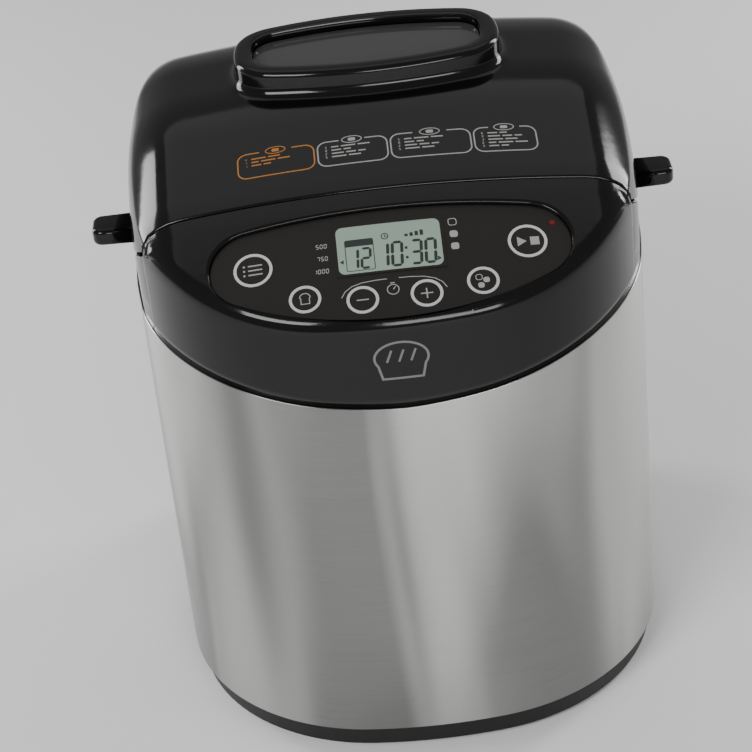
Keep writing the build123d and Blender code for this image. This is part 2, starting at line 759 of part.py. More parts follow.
def heater_clips():
    """Stand-offs that hold the bar off the side and rear walls."""
    clips = Part()
    half_w = OVEN_W / 2
    for s in (1, -1):
        for y in (OVEN_Y - CLIP_Y, OVEN_Y + CLIP_Y):
            x0 = s * half_w
            x1 = s * (half_w - CLIP_IN)
            clip = box(min(x0, x1), max(x0, x1), y - 3, y + 3, ELEMENT_Z - 4.6, ELEMENT_Z + 4.6)
            hole = Pos(s * (half_w - ELEMENT_IN), y, ELEMENT_Z) * Rot(90, 0, 0) * Cylinder(ELEMENT_R, 10)
            clips += clip - hole
    back = OVEN_Y + OVEN_D / 2
    for x in (-40, 40):
        clip = box(x - 3, x + 3, back - CLIP_IN, back, ELEMENT_Z - 4.6, ELEMENT_Z + 4.6)
        clips += clip - cross_rod(back - ELEMENT_IN, ELEMENT_Z, x - 5, x + 5, ELEMENT_R)
    return clips


def temperature_probe():
    y = OVEN_Y - OVEN_D / 2
    turned = Rot(90, 0, 0)
    probe = Pos(0, y - 1, PROBE_Z) * turned * Cylinder(PROBE_R, 12)
    probe += Pos(0, y - OVEN_T - 1.5, PROBE_Z) * turned * Cylinder(6.0, 3.0)
    return probe


def thermal_fuse():
    y = OVEN_Y + OVEN_D / 2 + OVEN_T
    strap = box(-14, 14, y, y + 1.2, 150, 160)
    strap += Pos(0, y + 4.2, 155) * Rot(0, 90, 0) * Cylinder(3.2, 18)
    return strap


def pan_socket():
    """Cup on the oven floor that the pan's foot ring drops into and turns home."""
    low = OVEN_Z
    cup = tube(0, OVEN_Y, low, low + 2, SOCKET_R, HUB_R + 1.5)
    cup += tube(0, OVEN_Y, low + 2, low + 12, SOCKET_R, SOCKET_R - 2)
    for x, y in SOCKET_SCREWS:
        cup -= rod(x, y, low - 1, low + 3, SCREW_R)
    return cup


def socket_screws():
    screws = Part()
    low = OVEN_Z + 2
    for x, y in SOCKET_SCREWS:
        screws += rod(x, y, low, low + 1.6, 3.2)
        screws += rod(x, y, low - 8, low, SCREW_R)
    return screws


# ---------------------------------------------------------------- pan

def bread_pan():
    pan = round_box(PAN_W + 2 * PAN_T, PAN_D + 2 * PAN_T, PAN_R + PAN_T, OVEN_Y, PAN_Z - PAN_T, PAN_TOP)
    rim = 2 * (PAN_T + PAN_RIM)
    pan += round_box(PAN_W + rim, PAN_D + rim, PAN_R + PAN_T + PAN_RIM, OVEN_Y, PAN_TOP - 2, PAN_TOP)
    pan -= round_box(PAN_W, PAN_D, PAN_R, OVEN_Y, PAN_Z, PAN_TOP + 1)
    pan -= rod(0, OVEN_Y, PAN_Z - 5, PAN_Z + 5, BUSH_R)
    for s in (1, -1):
        x0 = s * (PAN_W / 2)
        x1 = s * (PAN_W / 2 + PAN_T + 1)
        pan += box(min(x0, x1), max(x0, x1), OVEN_Y - 8, OVEN_Y + 8, BAIL_Z - 8, PAN_TOP)
        pan -= cross_rod(OVEN_Y, BAIL_Z, x0 - s, x1 + s, BAIL_R + FIT)
    return pan


BUSH_R = 9.0
BAIL_Z = PAN_TOP - 7.0
BAIL_R = 2.0
BAIL_LENGTH = PAN_D / 2 - 19.0
BAIL_GAP = 1.2


def pan_handle():
    """Wire bail through both side walls, lying back over the rim at rest."""
    leg = PAN_W / 2 + PAN_T + PAN_RIM + BAIL_GAP + BAIL_R
    inner = PAN_W / 2 - 1.0
    rest = BAIL_REST
    y1 = OVEN_Y + BAIL_LENGTH * cos(rest)
    z1 = BAIL_Z + BAIL_LENGTH * sin(rest)
    points = [(-inner, OVEN_Y, BAIL_Z), (-leg, OVEN_Y, BAIL_Z), (-leg, y1, z1)]
    points += [(leg, y1, z1), (leg, OVEN_Y, BAIL_Z), (inner, OVEN_Y, BAIL_Z)]
    path = FilletPolyline(*points, radius=[2.6, 9.0, 9.0, 2.6])
    plane = Plane(origin=path @ 0, z_dir=path % 0)
    return sweep(plane * Circle(BAIL_R), path=path)


BAIL_REST = radians(16.0)


def pan_base():
    """Die-cast foot ring under the pan, with the bearing hub for its shaft."""
    low = OVEN_Z + 2.3
    ring = tube(0, OVEN_Y, low, PAN_Z - PAN_T, SOCKET_R - 2.6, SOCKET_R - 5.6)
    top = tube(0, OVEN_Y, PAN_Z - PAN_T - 2, PAN_Z - PAN_T, SOCKET_R - 2.6, BUSH_R)
    return ring + top


def pan_bush():
    return tube(0, OVEN_Y, PAN_Z - PAN_T - 5, PAN_Z + 2.5, BUSH_R, SHAFT_R + FIT)


def pan_shaft():
    """Upright that carries the paddle: round in the bush, flat on one side above it."""
    shaft = rod(0, OVEN_Y, COUPLER_TOP, PAN_Z + 24, SHAFT_R)
    flat = box(-10, 10, OVEN_Y + SHAFT_R - 1.2, OVEN_Y + 10, PAN_Z + 4.5, PAN_Z + 30)
    return shaft - flat


COUPLER_TOP = OVEN_Z + 8.0
COUPLER_H = 5.5
COUPLER_POST = 11.5


def pan_coupler():
    """Two-winged driver on the pan shaft; it meets the wings of the drive coupler."""
    low = COUPLER_TOP - COUPLER_H
    hub = rod(0, OVEN_Y, low, COUPLER_TOP, SHAFT_R + 2.5)
    wings = box(-HUB_R, HUB_R, OVEN_Y - 2.5, OVEN_Y + 2.5, low, COUPLER_TOP)
    return hub + wings


def drive_coupler():
    """Two posts on a disc, a quarter turn ahead of the pan coupler's wings."""
    low = CHASSIS_Z + CHASSIS_T + 5.5
    driver = rod(0, OVEN_Y, low, OVEN_Z + 1.5, HUB_R)
    driver -= rod(0, OVEN_Y, low - 1, low + 4.0, SHAFT_R)
    for s in (1, -1):
        driver += rod(0, OVEN_Y + s * COUPLER_POST, OVEN_Z, COUPLER_TOP - 0.6, 2.6)
    return driver


def kneading_paddle():
    z = PAN_Z + 2.9
    hub = tube(0, OVEN_Y, z, z + 19, 8.5, SHAFT_R + FIT)
    key = box(-SHAFT_R, SHAFT_R, OVEN_Y + SHAFT_R - 1.2 + FIT, OVEN_Y + 7, z + 1.8, z + 19)
    blade = box(7.0, 42.0, OVEN_Y - 1.5, OVEN_Y + 1.5, z, z + 30)
    blade = fillet(blade.edges().filter_by(Axis.Y).sort_by(Axis.X)[-1:], 3.0)
    blade = fillet(blade.edges().filter_by(Axis.Y).sort_by(lambda e: e.center().X + e.center().Z)[-1], 12.0)
    return hub + key + blade


# ---------------------------------------------------------------- drive

def chassis_plate():
    plate = prism(CHASSIS_INSET, CHASSIS_Z, CHASSIS_Z + CHASSIS_T)
    plate -= rod(0, OVEN_Y, CHASSIS_Z - 1, CHASSIS_Z + 3, BEARING_R)
    plate -= rod(MOTOR_X, MOTOR_Y, CHASSIS_Z - 1, CHASSIS_Z + 3, 12.0)
    for x, y in POSTS:
        plate -= rod(x, y, CHASSIS_Z - 1, CHASSIS_Z + 3, SCREW_R)
    for x, y in MOTOR_SCREWS + STAYS:
        plate -= rod(x, y, CHASSIS_Z - 1, CHASSIS_Z + 3, SCREW_R)
    return plate


CHASSIS_INSET = 6.0
BEARING_R = 10.0
MOTOR_SCREWS = [(MOTOR_X + dx, MOTOR_Y + dy) for dx in (-18, 18) for dy in (-18, 18)]


def chassis_screws():
    screws = Part()
    z = CHASSIS_Z + CHASSIS_T
    for x, y in POSTS:
        screws += rod(x, y, z, z + 2, 3.4)
        screws += rod(x, y, z - 12, z, SCREW_R)
    return screws


def oven_legs():
    """Channel-shaped spacers between the chassis and the oven's floor."""
    legs = Part()
    for x in (-OVEN_W / 2 + 31, OVEN_W / 2 - 31):
        for y in (OVEN_Y - OVEN_D / 2 + 32, OVEN_Y + OVEN_D / 2 - 32):
            legs += box(x - 8, x + 8, y - 8, y + 8, CHASSIS_Z + CHASSIS_T, OVEN_Z - OVEN_T)
    return legs


def side_stays():
    """Upright steel straps from the chassis to the deck of the housing."""
    stays = Part()
    for x, y in STAYS:
        out = 1 if x > 0 else -1
        wall = x - out * 5.5
        x1 = wall + out * 11
        z0 = CHASSIS_Z + CHASSIS_T
        z1 = DECK_Z - 16
        strap = box(min(wall, wall + out * 1.5), max(wall, wall + out * 1.5), y - 7, y + 7, z0, z1)
        stays += strap
        for z in (z0, z1 - 1.5):
            foot = box(min(wall, x1), max(wall, x1), y - 7, y + 7, z, z + 1.5)
            stays += foot - rod(x, y, z - 1, z + 3, SCREW_R)
    return stays


def stay_screws():
    """Screws through the straps' feet, up into the deck and down into the chassis."""
    screws = Part()
    high = DECK_Z - 17.5
    low = CHASSIS_Z + CHASSIS_T + 1.5
    for x, y in STAYS:
        screws += rod(x, y, high - 2, high, 3.2) + rod(x, y, high, high + 12, SCREW_R)
        screws += rod(x, y, low, low + 2, 3.2) + rod(x, y, CHASSIS_Z - 2, low, SCREW_R)
    return screws


def rear_screws():
    """Pan-head screws of the rear cover."""
    screws = Part()
    for x, z in REAR_SCREWS:
        turned = Pos(x, outline_back(x), z) * Rot(90, 0, 0)
        screws += Pos(0, -0.2, 0) * turned * Cylinder(3.0, 2.4) + Pos(0, -6, 0) * turned * Cylinder(SCREW_R, 12)
    return screws


def main_shaft():
    return rod(0, OVEN_Y, BELT_Z - BELT_H / 2 - 3, CHASSIS_Z + CHASSIS_T + 9.5, SHAFT_R)


def shaft_bearing():
    """Flanged sintered bush in the chassis plate."""
    z = CHASSIS_Z
    bush = tube(0, OVEN_Y, z - 8, z + CHASSIS_T + 4.5, BEARING_R, SHAFT_R + FIT)
    flange = tube(0, OVEN_Y, z - 2, z, BEARING_R + 5, BEARING_R)
    return bush + flange


def pulley(x, y, radius, bore, web):
    z0 = BELT_Z - BELT_H / 2
    z1 = BELT_Z + BELT_H / 2
    wheel = rod(x, y, z0, z1, radius)
    for z in (z0 - 1.2, z1):
        wheel += rod(x, y, z, z + 1.2, radius + 1.6)
    if web:
        for z in (z0 - 2, BELT_Z + 1.5):
            wheel -= tube(x, y, z, z + BELT_H / 2 + 0.8, radius - 4, 12)
    return wheel - rod(x, y, z0 - 5, z1 + 5, bore)


def drive_belt():
    """Ribbed belt: two half wraps and two straight runs, on the belts' running radii."""
    dx = MOTOR_X
    dy = MOTOR_Y - OVEN_Y
    span = hypot(dx, dy)
    lean = (BIG_PULLEY_R - SMALL_PULLEY_R) / span
    ux, uy = dx / span, dy / span
    outer = belt_face(ux, uy, span, lean, BELT_T + SLIP)
    inner = belt_face(ux, uy, span, lean, SLIP)
    return column(outer - inner, BELT_Z - BELT_H / 2 + 0.6, BELT_Z + BELT_H / 2 - 0.6)


BELT_T = 1.6


def belt_face(ux, uy, span, lean, grow):
    """Outline round both pulleys at a given distance outside them."""
    big = BIG_PULLEY_R + grow
    small = SMALL_PULLEY_R + grow
    up = sqrt(1 - lean * lean)
    points = []
    for s in (1, -1):
        nx = ux * lean - s * uy * up
        ny = uy * lean + s * ux * up
        points.append((nx * big, OVEN_Y + ny * big))
        points.append((MOTOR_X + nx * small, MOTOR_Y + ny * small))
    far = (-ux * big, OVEN_Y - uy * big)
    near = (MOTOR_X + ux * small, MOTOR_Y + uy * small)
    lines = ThreePointArc(points[0], far, points[2])
    lines += Line(points[2], points[3])
    lines += ThreePointArc(points[3], near, points[1])
    lines += Line(points[1], points[0])
    return make_face(lines.edges())


def motor_body():
    z0 = CHASSIS_Z + CHASSIS_T + 6
    can = rod(MOTOR_X, MOTOR_Y, z0, z0 + MOTOR_H, MOTOR_R)
    can -= rod(MOTOR_X, MOTOR_Y, z0 - 1, z0 + MOTOR_H + 1, MOTOR_SHAFT_R + 2.0)
    can += motor_bushes(z0)
    return can


MOTOR_SHAFT_R = 3.0


def motor_bushes(z0):
    bushes = Part()
    for z in (z0, z0 + MOTOR_H - 8):
        bushes += tube(MOTOR_X, MOTOR_Y, z, z + 8, MOTOR_SHAFT_R + 2.0, MOTOR_SHAFT_R + FIT)
    return bushes


def motor_mounts():
    """Rubber grommets between the motor's can and the chassis."""
    mounts = Part()
    z = CHASSIS_Z + CHASSIS_T
    for x, y in MOTOR_SCREWS:
        mounts += tube(x, y, z, z + 6, 5.0, SCREW_R)
    return mounts


def motor_screws():
    screws = Part()
    for x, y in MOTOR_SCREWS:
        screws += rod(x, y, CHASSIS_Z - 2, CHASSIS_Z, 3.2)
        screws += rod(x, y, CHASSIS_Z, CHASSIS_Z + CHASSIS_T + 6, SCREW_R)
    return screws


def motor_shaft():
    top = CHASSIS_Z + CHASSIS_T + 6 + MOTOR_H + 14
    return rod(MOTOR_X, MOTOR_Y, BELT_Z - BELT_H / 2 - 3, top, MOTOR_SHAFT_R)


def motor_fan():
    z = CHASSIS_Z + CHASSIS_T + 6 + MOTOR_H + 3
    fan = tube(MOTOR_X, MOTOR_Y, z, z + 9, 7.0, MOTOR_SHAFT_R)
    for i in range(8):
        blade = box(6.0, 26.0, -0.8, 0.8, z, z + 9)
        fan += Pos(MOTOR_X, MOTOR_Y, 0) * Rot(0, 0, i * 45) * blade
    return fan


def power_board():
    board = box(-86, -30, -0.8, 0.8, CHASSIS_Z + CHASSIS_T + 4, CHASSIS_Z + CHASSIS_T + 74)
    return Pos(0, SEAM_Y + 6, 0) * board


def power_parts():
    """Relay, transformer and capacitor on the power board."""
    y = SEAM_Y + 6 - 0.8
    z = CHASSIS_Z + CHASSIS_T
    parts = box(-76, -54, y - 16, y, z + 14, z + 30)
    parts += box(-76, -42, y - 22, y, z + 38, z + 66)
    parts += Pos(-40, y - 9, z + 20) * Rot(90, 0, 0) * Cylinder(6.0, 18)
    return parts


def frame_screws():
    """All the self-tapping screws of the frame, one size."""
    return chassis_screws() + stay_screws() + motor_screws() + socket_screws()


SUBPARTS = {
    "base_tray": base_tray,
    "rubber_feet": rubber_feet,
    "steel_wrap": steel_wrap,
    "rear_cover": rear_cover,
    "rear_screws": rear_screws,
    "cord_gland": cord_gland,
    "upper_housing": upper_housing,
    "control_panel": control_panel,
    "button_rings": button_rings,
    "lcd_window": lcd_window,
    "lcd_module": lcd_module,
    "led_lens": led_lens,
    "control_board": control_board,
    "board_screws": board_screws,
    "tact_switches": tact_switches,
    "lid_shell": lid_shell,
    "lid_liner": lid_liner,
    "lid_seal": lid_seal,
    "window_pane": window_pane,
    "window_gasket": window_gasket,
    "inner_pane": inner_pane,
    "hinge_pins": hinge_pins,
    "oven_liner": oven_liner,
    "heating_element": heating_element,
    "heater_clips": heater_clips,
    "temperature_probe": temperature_probe,
    "thermal_fuse": thermal_fuse,
    "pan_socket": pan_socket,
    "bread_pan": bread_pan,
    "pan_handle": pan_handle,
    "pan_base": pan_base,
    "pan_bush": pan_bush,
    "pan_shaft": pan_shaft,
    "pan_coupler": pan_coupler,
    "kneading_paddle": kneading_paddle,
    "chassis_plate": chassis_plate,
    "oven_legs": oven_legs,
    "side_stays": side_stays,
    "main_shaft": main_shaft,
    "shaft_bearing": shaft_bearing,
    "drive_coupler": drive_coupler,
    "drive_belt": drive_belt,
    "motor_body": motor_body,
    "motor_mounts": motor_mounts,
    "frame_screws": frame_screws,
    "motor_shaft": motor_shaft,
    "motor_fan": motor_fan,
    "power_board": power_board,
    "power_parts": power_parts,
}


def main():
    os.makedirs("parts", exist_ok=True)
    for name, make in SUBPARTS.items():
        save(name, make())
    for name in BUTTONS:
        save(name, button(name))
    save("lid_tab_left", lid_tab(-1))
    save("lid_tab_right", lid_tab(1))
    save("large_pulley", pulley(0, OVEN_Y, BIG_PULLEY_R, SHAFT_R, True))
    save("motor_pulley", pulley(MOTOR_X, MOTOR_Y, SMALL_PULLEY_R, MOTOR_SHAFT_R, False))


if __name__ == "__main__":
    main()
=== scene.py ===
import json
from math import atan2, copysign, cos, hypot, pi, radians, sin, tan

import bmesh
import bpy
from mathutils import Matrix, Vector


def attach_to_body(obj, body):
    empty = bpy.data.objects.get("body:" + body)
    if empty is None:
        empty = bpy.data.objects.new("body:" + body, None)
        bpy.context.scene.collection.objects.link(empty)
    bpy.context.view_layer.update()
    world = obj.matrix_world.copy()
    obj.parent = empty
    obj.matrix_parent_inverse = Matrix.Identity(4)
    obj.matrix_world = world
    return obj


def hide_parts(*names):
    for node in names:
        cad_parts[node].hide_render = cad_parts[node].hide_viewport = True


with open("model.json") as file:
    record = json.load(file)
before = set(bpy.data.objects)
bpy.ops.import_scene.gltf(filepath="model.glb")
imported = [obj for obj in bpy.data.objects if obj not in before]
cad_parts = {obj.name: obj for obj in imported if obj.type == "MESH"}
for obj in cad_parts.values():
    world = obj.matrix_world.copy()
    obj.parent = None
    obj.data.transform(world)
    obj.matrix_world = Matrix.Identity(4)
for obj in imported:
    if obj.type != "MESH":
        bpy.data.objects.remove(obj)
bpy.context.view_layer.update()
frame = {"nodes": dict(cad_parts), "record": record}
nodes = frame["nodes"]
bodies = frame["record"]["behaviour"]["bodies"]
slots = {row["node"]: row["material_slot"] for row in frame["record"]["subparts"]}

MM = 0.001


# ------------------------------------------------------------------ camera and studio

CAMERA_AT = Vector((-9.5, -1034.2, 779.0)) * MM
CAMERA_LOOK = Vector((-0.0024, 0.8480, -0.5299))
CAMERA_ROLL = radians(-6.246)
CAMERA_LENS = 115.02
CAMERA_SENSOR = 36.0
CAMERA_NEAR = 0.01

LIGHTS_AIM = (0, 0, 0.16)
SOFT_BOXES = {
    # name: (place, width, height, watts)
    "key_box": ((-1.1, -1.6, 1.5), 1.0, 0.8, 30),
    "right_box": ((1.1, 0.7, 0.6), 0.3, 0.9, 9),
    "left_box": ((-1.1, 0.75, 0.55), 0.35, 0.9, 9),
    "front_box": ((0.5, -2.2, 0.9), 1.2, 0.5, 18),
    "back_box": ((0.0, 1.0, 2.2), 2.4, 1.6, 6),
}
ROOM_COLOUR = "#f2f2f2"
ROOM_STRENGTH = 0.28
FLOOR_HALF = 6.0


def set_camera():
    """A long lens in front of and above the machine, rolled a little."""
    look = CAMERA_LOOK.normalized()
    right = look.cross(Vector((0, 0, 1))).normalized()
    up = right.cross(look)
    x = right * cos(CAMERA_ROLL) + up * sin(CAMERA_ROLL)
    y = up * cos(CAMERA_ROLL) - right * sin(CAMERA_ROLL)
    data = bpy.data.cameras.new("camera")
    data.lens = CAMERA_LENS
    data.sensor_width = CAMERA_SENSOR
    data.clip_start = CAMERA_NEAR
    camera = bpy.data.objects.new("camera", data)
    bpy.context.scene.collection.objects.link(camera)
    turn = Matrix((x, y, -look)).transposed().to_4x4()
    camera.matrix_world = Matrix.Translation(CAMERA_AT) @ turn
    bpy.context.scene.camera = camera


def soft_box(name, at, width, height, watts):
    """A white rectangular light that faces the machine."""
    data = bpy.data.lights.new(name, "AREA")
    data.shape = "RECTANGLE"
    data.size = width
    data.size_y = height
    data.energy = watts
    lamp = bpy.data.objects.new(name, data)
    bpy.context.scene.collection.objects.link(lamp)
    away = Vector(at) - Vector(LIGHTS_AIM)
    turn = away.to_track_quat("Z", "Y").to_matrix().to_4x4()
    lamp.matrix_world = Matrix.Translation(Vector(at)) @ turn


def set_studio():
    """Soft boxes, an even pale room and a pale floor."""
    for name, (at, width, height, watts) in SOFT_BOXES.items():
        soft_box(name, at, width, height, watts)
    world = bpy.data.worlds.new("studio")
    world.use_nodes = True
    background = world.node_tree.nodes["Background"]
    background.inputs["Color"].default_value = linear(ROOM_COLOUR)
    background.inputs["Strength"].default_value = ROOM_STRENGTH
    bpy.context.scene.world = world
    bm = bmesh.new()
    bmesh.ops.create_grid(bm, x_segments=1, y_segments=1, size=FLOOR_HALF)
    floor = new_piece("floor", bm)
    floor.data.materials.append(pale_floor())


# ------------------------------------------------------------------ materials

def linear(code):
    """sRGB hex to a linear colour."""
    channels = [int(code[i:i + 2], 16) / 255 for i in (1, 3, 5)]
    even = [c / 12.92 if c <= 0.04045 else ((c + 0.055) / 1.055) ** 2.4 for c in channels]
    return (*even, 1.0)


def finish(name, code, metallic=0.0, roughness=0.5, **settings):
    """A new material with its shader's own values set; returns it with its tree and shader."""
    made = bpy.data.materials.new(name)
    made.use_nodes = True
    shader = made.node_tree.nodes["Principled BSDF"]
    shader.inputs["Base Color"].default_value = linear(code)
    shader.inputs["Metallic"].default_value = metallic
    shader.inputs["Roughness"].default_value = roughness
    for socket, value in settings.items():
        shader.inputs[socket.replace("_", " ")].default_value = value
    return made, made.node_tree, shader


def add(tree, kind, links=(), **settings):
    """Adds a node. Settings that are sockets are set on them; links are (input, source socket)."""
    made = tree.nodes.new(kind)
    for key, value in settings.items():
        socket = key.replace("_", " ")
        if socket in made.inputs:
            made.inputs[socket].default_value = value
        else:
            setattr(made, key, value)
    for target, source in links:
        tree.links.new(source, made.inputs[target])
    return made


def bump(tree, shader, height, strength, distance):
    """Roughens a shader's surface by a height pattern."""
    made = add(tree, "ShaderNodeBump", [("Height", height)], Strength=strength, Distance=distance)
    tree.links.new(made.outputs["Normal"], shader.inputs["Normal"])


def object_coords(tree, scale=(1, 1, 1)):
    """The piece's own coordinates in metres, stretched along its axes."""
    coords = add(tree, "ShaderNodeTexCoord")
    mapping = add(tree, "ShaderNodeMapping", [("Vector", coords.outputs["Object"])])
    mapping.inputs["Scale"].default_value = scale
    return mapping.outputs["Vector"]


def spread(tree, source, low, high):
    """Maps a 0 to 1 pattern to a range."""
    made = add(tree, "ShaderNodeMapRange", [("Value", source)], To_Min=low, To_Max=high)
    return made.outputs["Result"]


def blend(tree, share, one, other):
    """Mixes two colours by a 0 to 1 pattern. Each is a hex code, a linear colour or a socket."""
    made = add(tree, "ShaderNodeMix", [("Factor", share)], data_type="RGBA")
    for socket, colour in ((made.inputs[MIX_A], one), (made.inputs[MIX_B], other)):
        if isinstance(colour, str):
            colour = linear(colour)
        if isinstance(colour, tuple):
            socket.default_value = colour
        else:
            tree.links.new(colour, socket)
    return made.outputs[MIX_RESULT]


# Sockets of a colour mix, whose names the mix's other kinds share
MIX_A = 6
MIX_B = 7
MIX_RESULT = 2


def gloss_black_abs():
    """ABS moulded in a polished tool: deep black, mirror gloss with a faint orange peel and wipe marks."""
    made, tree, shader = finish("gloss_black_abs", "#0c0c0d", roughness=0.09, IOR=1.46,
                                Specular_IOR_Level=0.4)
    place = object_coords(tree)
    wipes = add(tree, "ShaderNodeTexNoise", [("Vector", place)], Scale=28.0, Detail=3.0)
    tree.links.new(spread(tree, wipes.outputs["Fac"], 0.06, 0.15), shader.inputs["Roughness"])
    peel = add(tree, "ShaderNodeTexNoise", [("Vector", place)], Scale=260.0, Detail=1.0)
    bump(tree, shader, peel.outputs["Fac"], 0.04, 0.0004)
    return made


def textured_black_abs():
    """ABS from a spark-eroded tool: matt black with a fine even grain."""
    made, tree, shader = finish("textured_black_abs", "#0f0f10", roughness=0.5)
    place = object_coords(tree)
    grain = add(tree, "ShaderNodeTexNoise", [("Vector", place)], Scale=1400.0, Detail=2.0)
    bump(tree, shader, grain.outputs["Fac"], 0.25, 0.0004)
    tone = add(tree, "ShaderNodeTexNoise", [("Vector", place)], Scale=30.0, Detail=2.0)
    tree.links.new(spread(tree, tone.outputs["Fac"], 0.42, 0.6), shader.inputs["Roughness"])
    return made


def brushed_stainless():
    """Stainless sheet with fine brushing round the body, so that highlights stretch up and down.
    Broad soft bands of painted reflection, darker and brighter, run up its base colour."""
    made, tree, shader = finish("brushed_stainless", "#a9a9a8", metallic=1.0, roughness=0.3,
                                Anisotropic=0.75, Anisotropic_Rotation=0.25)
    streaks = add(tree, "ShaderNodeTexNoise", [("Vector", object_coords(tree, (0.012, 0.012, 1)))],
                  Scale=2200.0, Detail=3.0)
    # painted reflection: broad up-and-down bands of darker and brighter base colour stand in for the
    # studio's reflections in the steel
    painted_reflection_bands = add(tree, "ShaderNodeTexNoise", [("Vector", object_coords(tree, (1, 1, 0.13)))],
                Scale=16.0, Detail=1.5, Distortion=0.7)
    soft = add(tree, "ShaderNodeMapRange", [("Value", painted_reflection_bands.outputs["Fac"])],
               interpolation_type="SMOOTHSTEP", From_Min=0.38, From_Max=0.62)
    # the painted reflection bands blend two greys into the steel's base colour
    tone = blend(tree, soft.outputs["Result"], "#7c7c7b", "#c9c9c7")
    fine = blend(tree, spread(tree, streaks.outputs["Fac"], 0.05, 0.35), tone, "#a4a4a2")
    tree.links.new(fine, shader.inputs["Base Color"])
    tree.links.new(spread(tree, streaks.outputs["Fac"], 0.25, 0.33), shader.inputs["Roughness"])
    bump(tree, shader, streaks.outputs["Fac"], 0.02, 0.0002)
    return made


def panel_film():
    """Printed polyester film over the panel: satin, very dark warm grey."""
    made, tree, shader = finish("panel_film", "#211f1d", roughness=0.34, Specular_IOR_Level=0.3)
    place = object_coords(tree)
    grain = add(tree, "ShaderNodeTexNoise", [("Vector", place)], Scale=2500.0, Detail=1.0)
    bump(tree, shader, grain.outputs["Fac"], 0.08, 0.0002)
    tone = add(tree, "ShaderNodeTexNoise", [("Vector", place)], Scale=40.0, Detail=2.0)
    tree.links.new(spread(tree, tone.outputs["Fac"], 0.3, 0.4), shader.inputs["Roughness"])
    return made


def satin_chrome():
    """Plated plastic ring with a bright satin face."""
    made, tree, shader = finish("satin_chrome", "#e8e8ea", metallic=0.6, roughness=0.25)
    place = object_coords(tree)
    grain = add(tree, "ShaderNodeTexNoise", [("Vector", place)], Scale=900.0, Detail=2.0)
    tree.links.new(spread(tree, grain.outputs["Fac"], 0.2, 0.34), shader.inputs["Roughness"])
    return made


def lcd_cell():
    """Reflective display under its clear cover: grey-green, with a faint dot grain."""
    made, tree, shader = finish("lcd_cell", "#8fa195", roughness=0.4, Specular_IOR_Level=0.3)
    place = object_coords(tree)
    grain = add(tree, "ShaderNodeTexNoise", [("Vector", place)], Scale=1800.0, Detail=1.0)
    tint = blend(tree, grain.outputs["Fac"], "#8b9e91", "#96a99c")
    tree.links.new(tint, shader.inputs["Base Color"])
    return made


def smoked_glass():
    """Toughened window glass with a grey tint."""
    made, tree, shader = finish("smoked_glass", "#4b4b4c", roughness=0.06, IOR=1.52,
                                Transmission_Weight=0.25)
    place = object_coords(tree)
    haze = add(tree, "ShaderNodeTexNoise", [("Vector", place)], Scale=35.0, Detail=2.0)
    tree.links.new(spread(tree, haze.outputs["Fac"], 0.04, 0.12), shader.inputs["Roughness"])
    return made


def pale_floor():
    """Painted studio floor, even and pale, with a faint roller mottle in its gloss."""
    made, tree, shader = finish("pale_floor", "#f6f6f6", roughness=0.7)
    mottle = add(tree, "ShaderNodeTexNoise", [("Vector", object_coords(tree))], Scale=90.0, Detail=2.0)
    tree.links.new(spread(tree, mottle.outputs["Fac"], 0.62, 0.78), shader.inputs["Roughness"])
    return made


def plain_metal(name, code, roughness, grain_scale):
    """Metal with a fine even grain in its gloss."""
    made, tree, shader = finish(name, code, metallic=1.0, roughness=roughness)
    grain = add(tree, "ShaderNodeTexNoise", [("Vector", object_coords(tree))],
                Scale=grain_scale, Detail=3.0).outputs["Fac"]
    gloss = spread(tree, grain, roughness - 0.08, roughness + 0.1)
    tree.links.new(gloss, shader.inputs["Roughness"])
    bump(tree, shader, grain, 0.1, 0.0002)
    return made


def plain_moulded(name, code, roughness, grain_scale=900.0):
    """Plastic, rubber or lacquer with a fine grain."""
    made, tree, shader = finish(name, code, roughness=roughness)
    grain = add(tree, "ShaderNodeTexNoise", [("Vector", object_coords(tree))],
                Scale=grain_scale, Detail=2.0).outputs["Fac"]
    gloss = spread(tree, grain, roughness - 0.08, roughness + 0.08)
    tree.links.new(gloss, shader.inputs["Roughness"])
    bump(tree, shader, grain, 0.15, 0.0003)
    return made


def screen_ink(name, code):
    """Screen-printed ink: satin, a little darker where it is laid thinly."""
    made, tree, shader = finish(name, code, roughness=0.45)
    grain = add(tree, "ShaderNodeTexNoise", [("Vector", object_coords(tree))], Scale=2200.0, Detail=2.0)
    tree.links.new(spread(tree, grain.outputs["Fac"], 0.4, 0.55), shader.inputs["Roughness"])
    thin = (*(c * 0.8 for c in linear(code)[:3]), 1.0)
    tint = blend(tree, grain.outputs["Fac"], code, thin)
    tree.links.new(tint, shader.inputs["Base Color"])
    return made


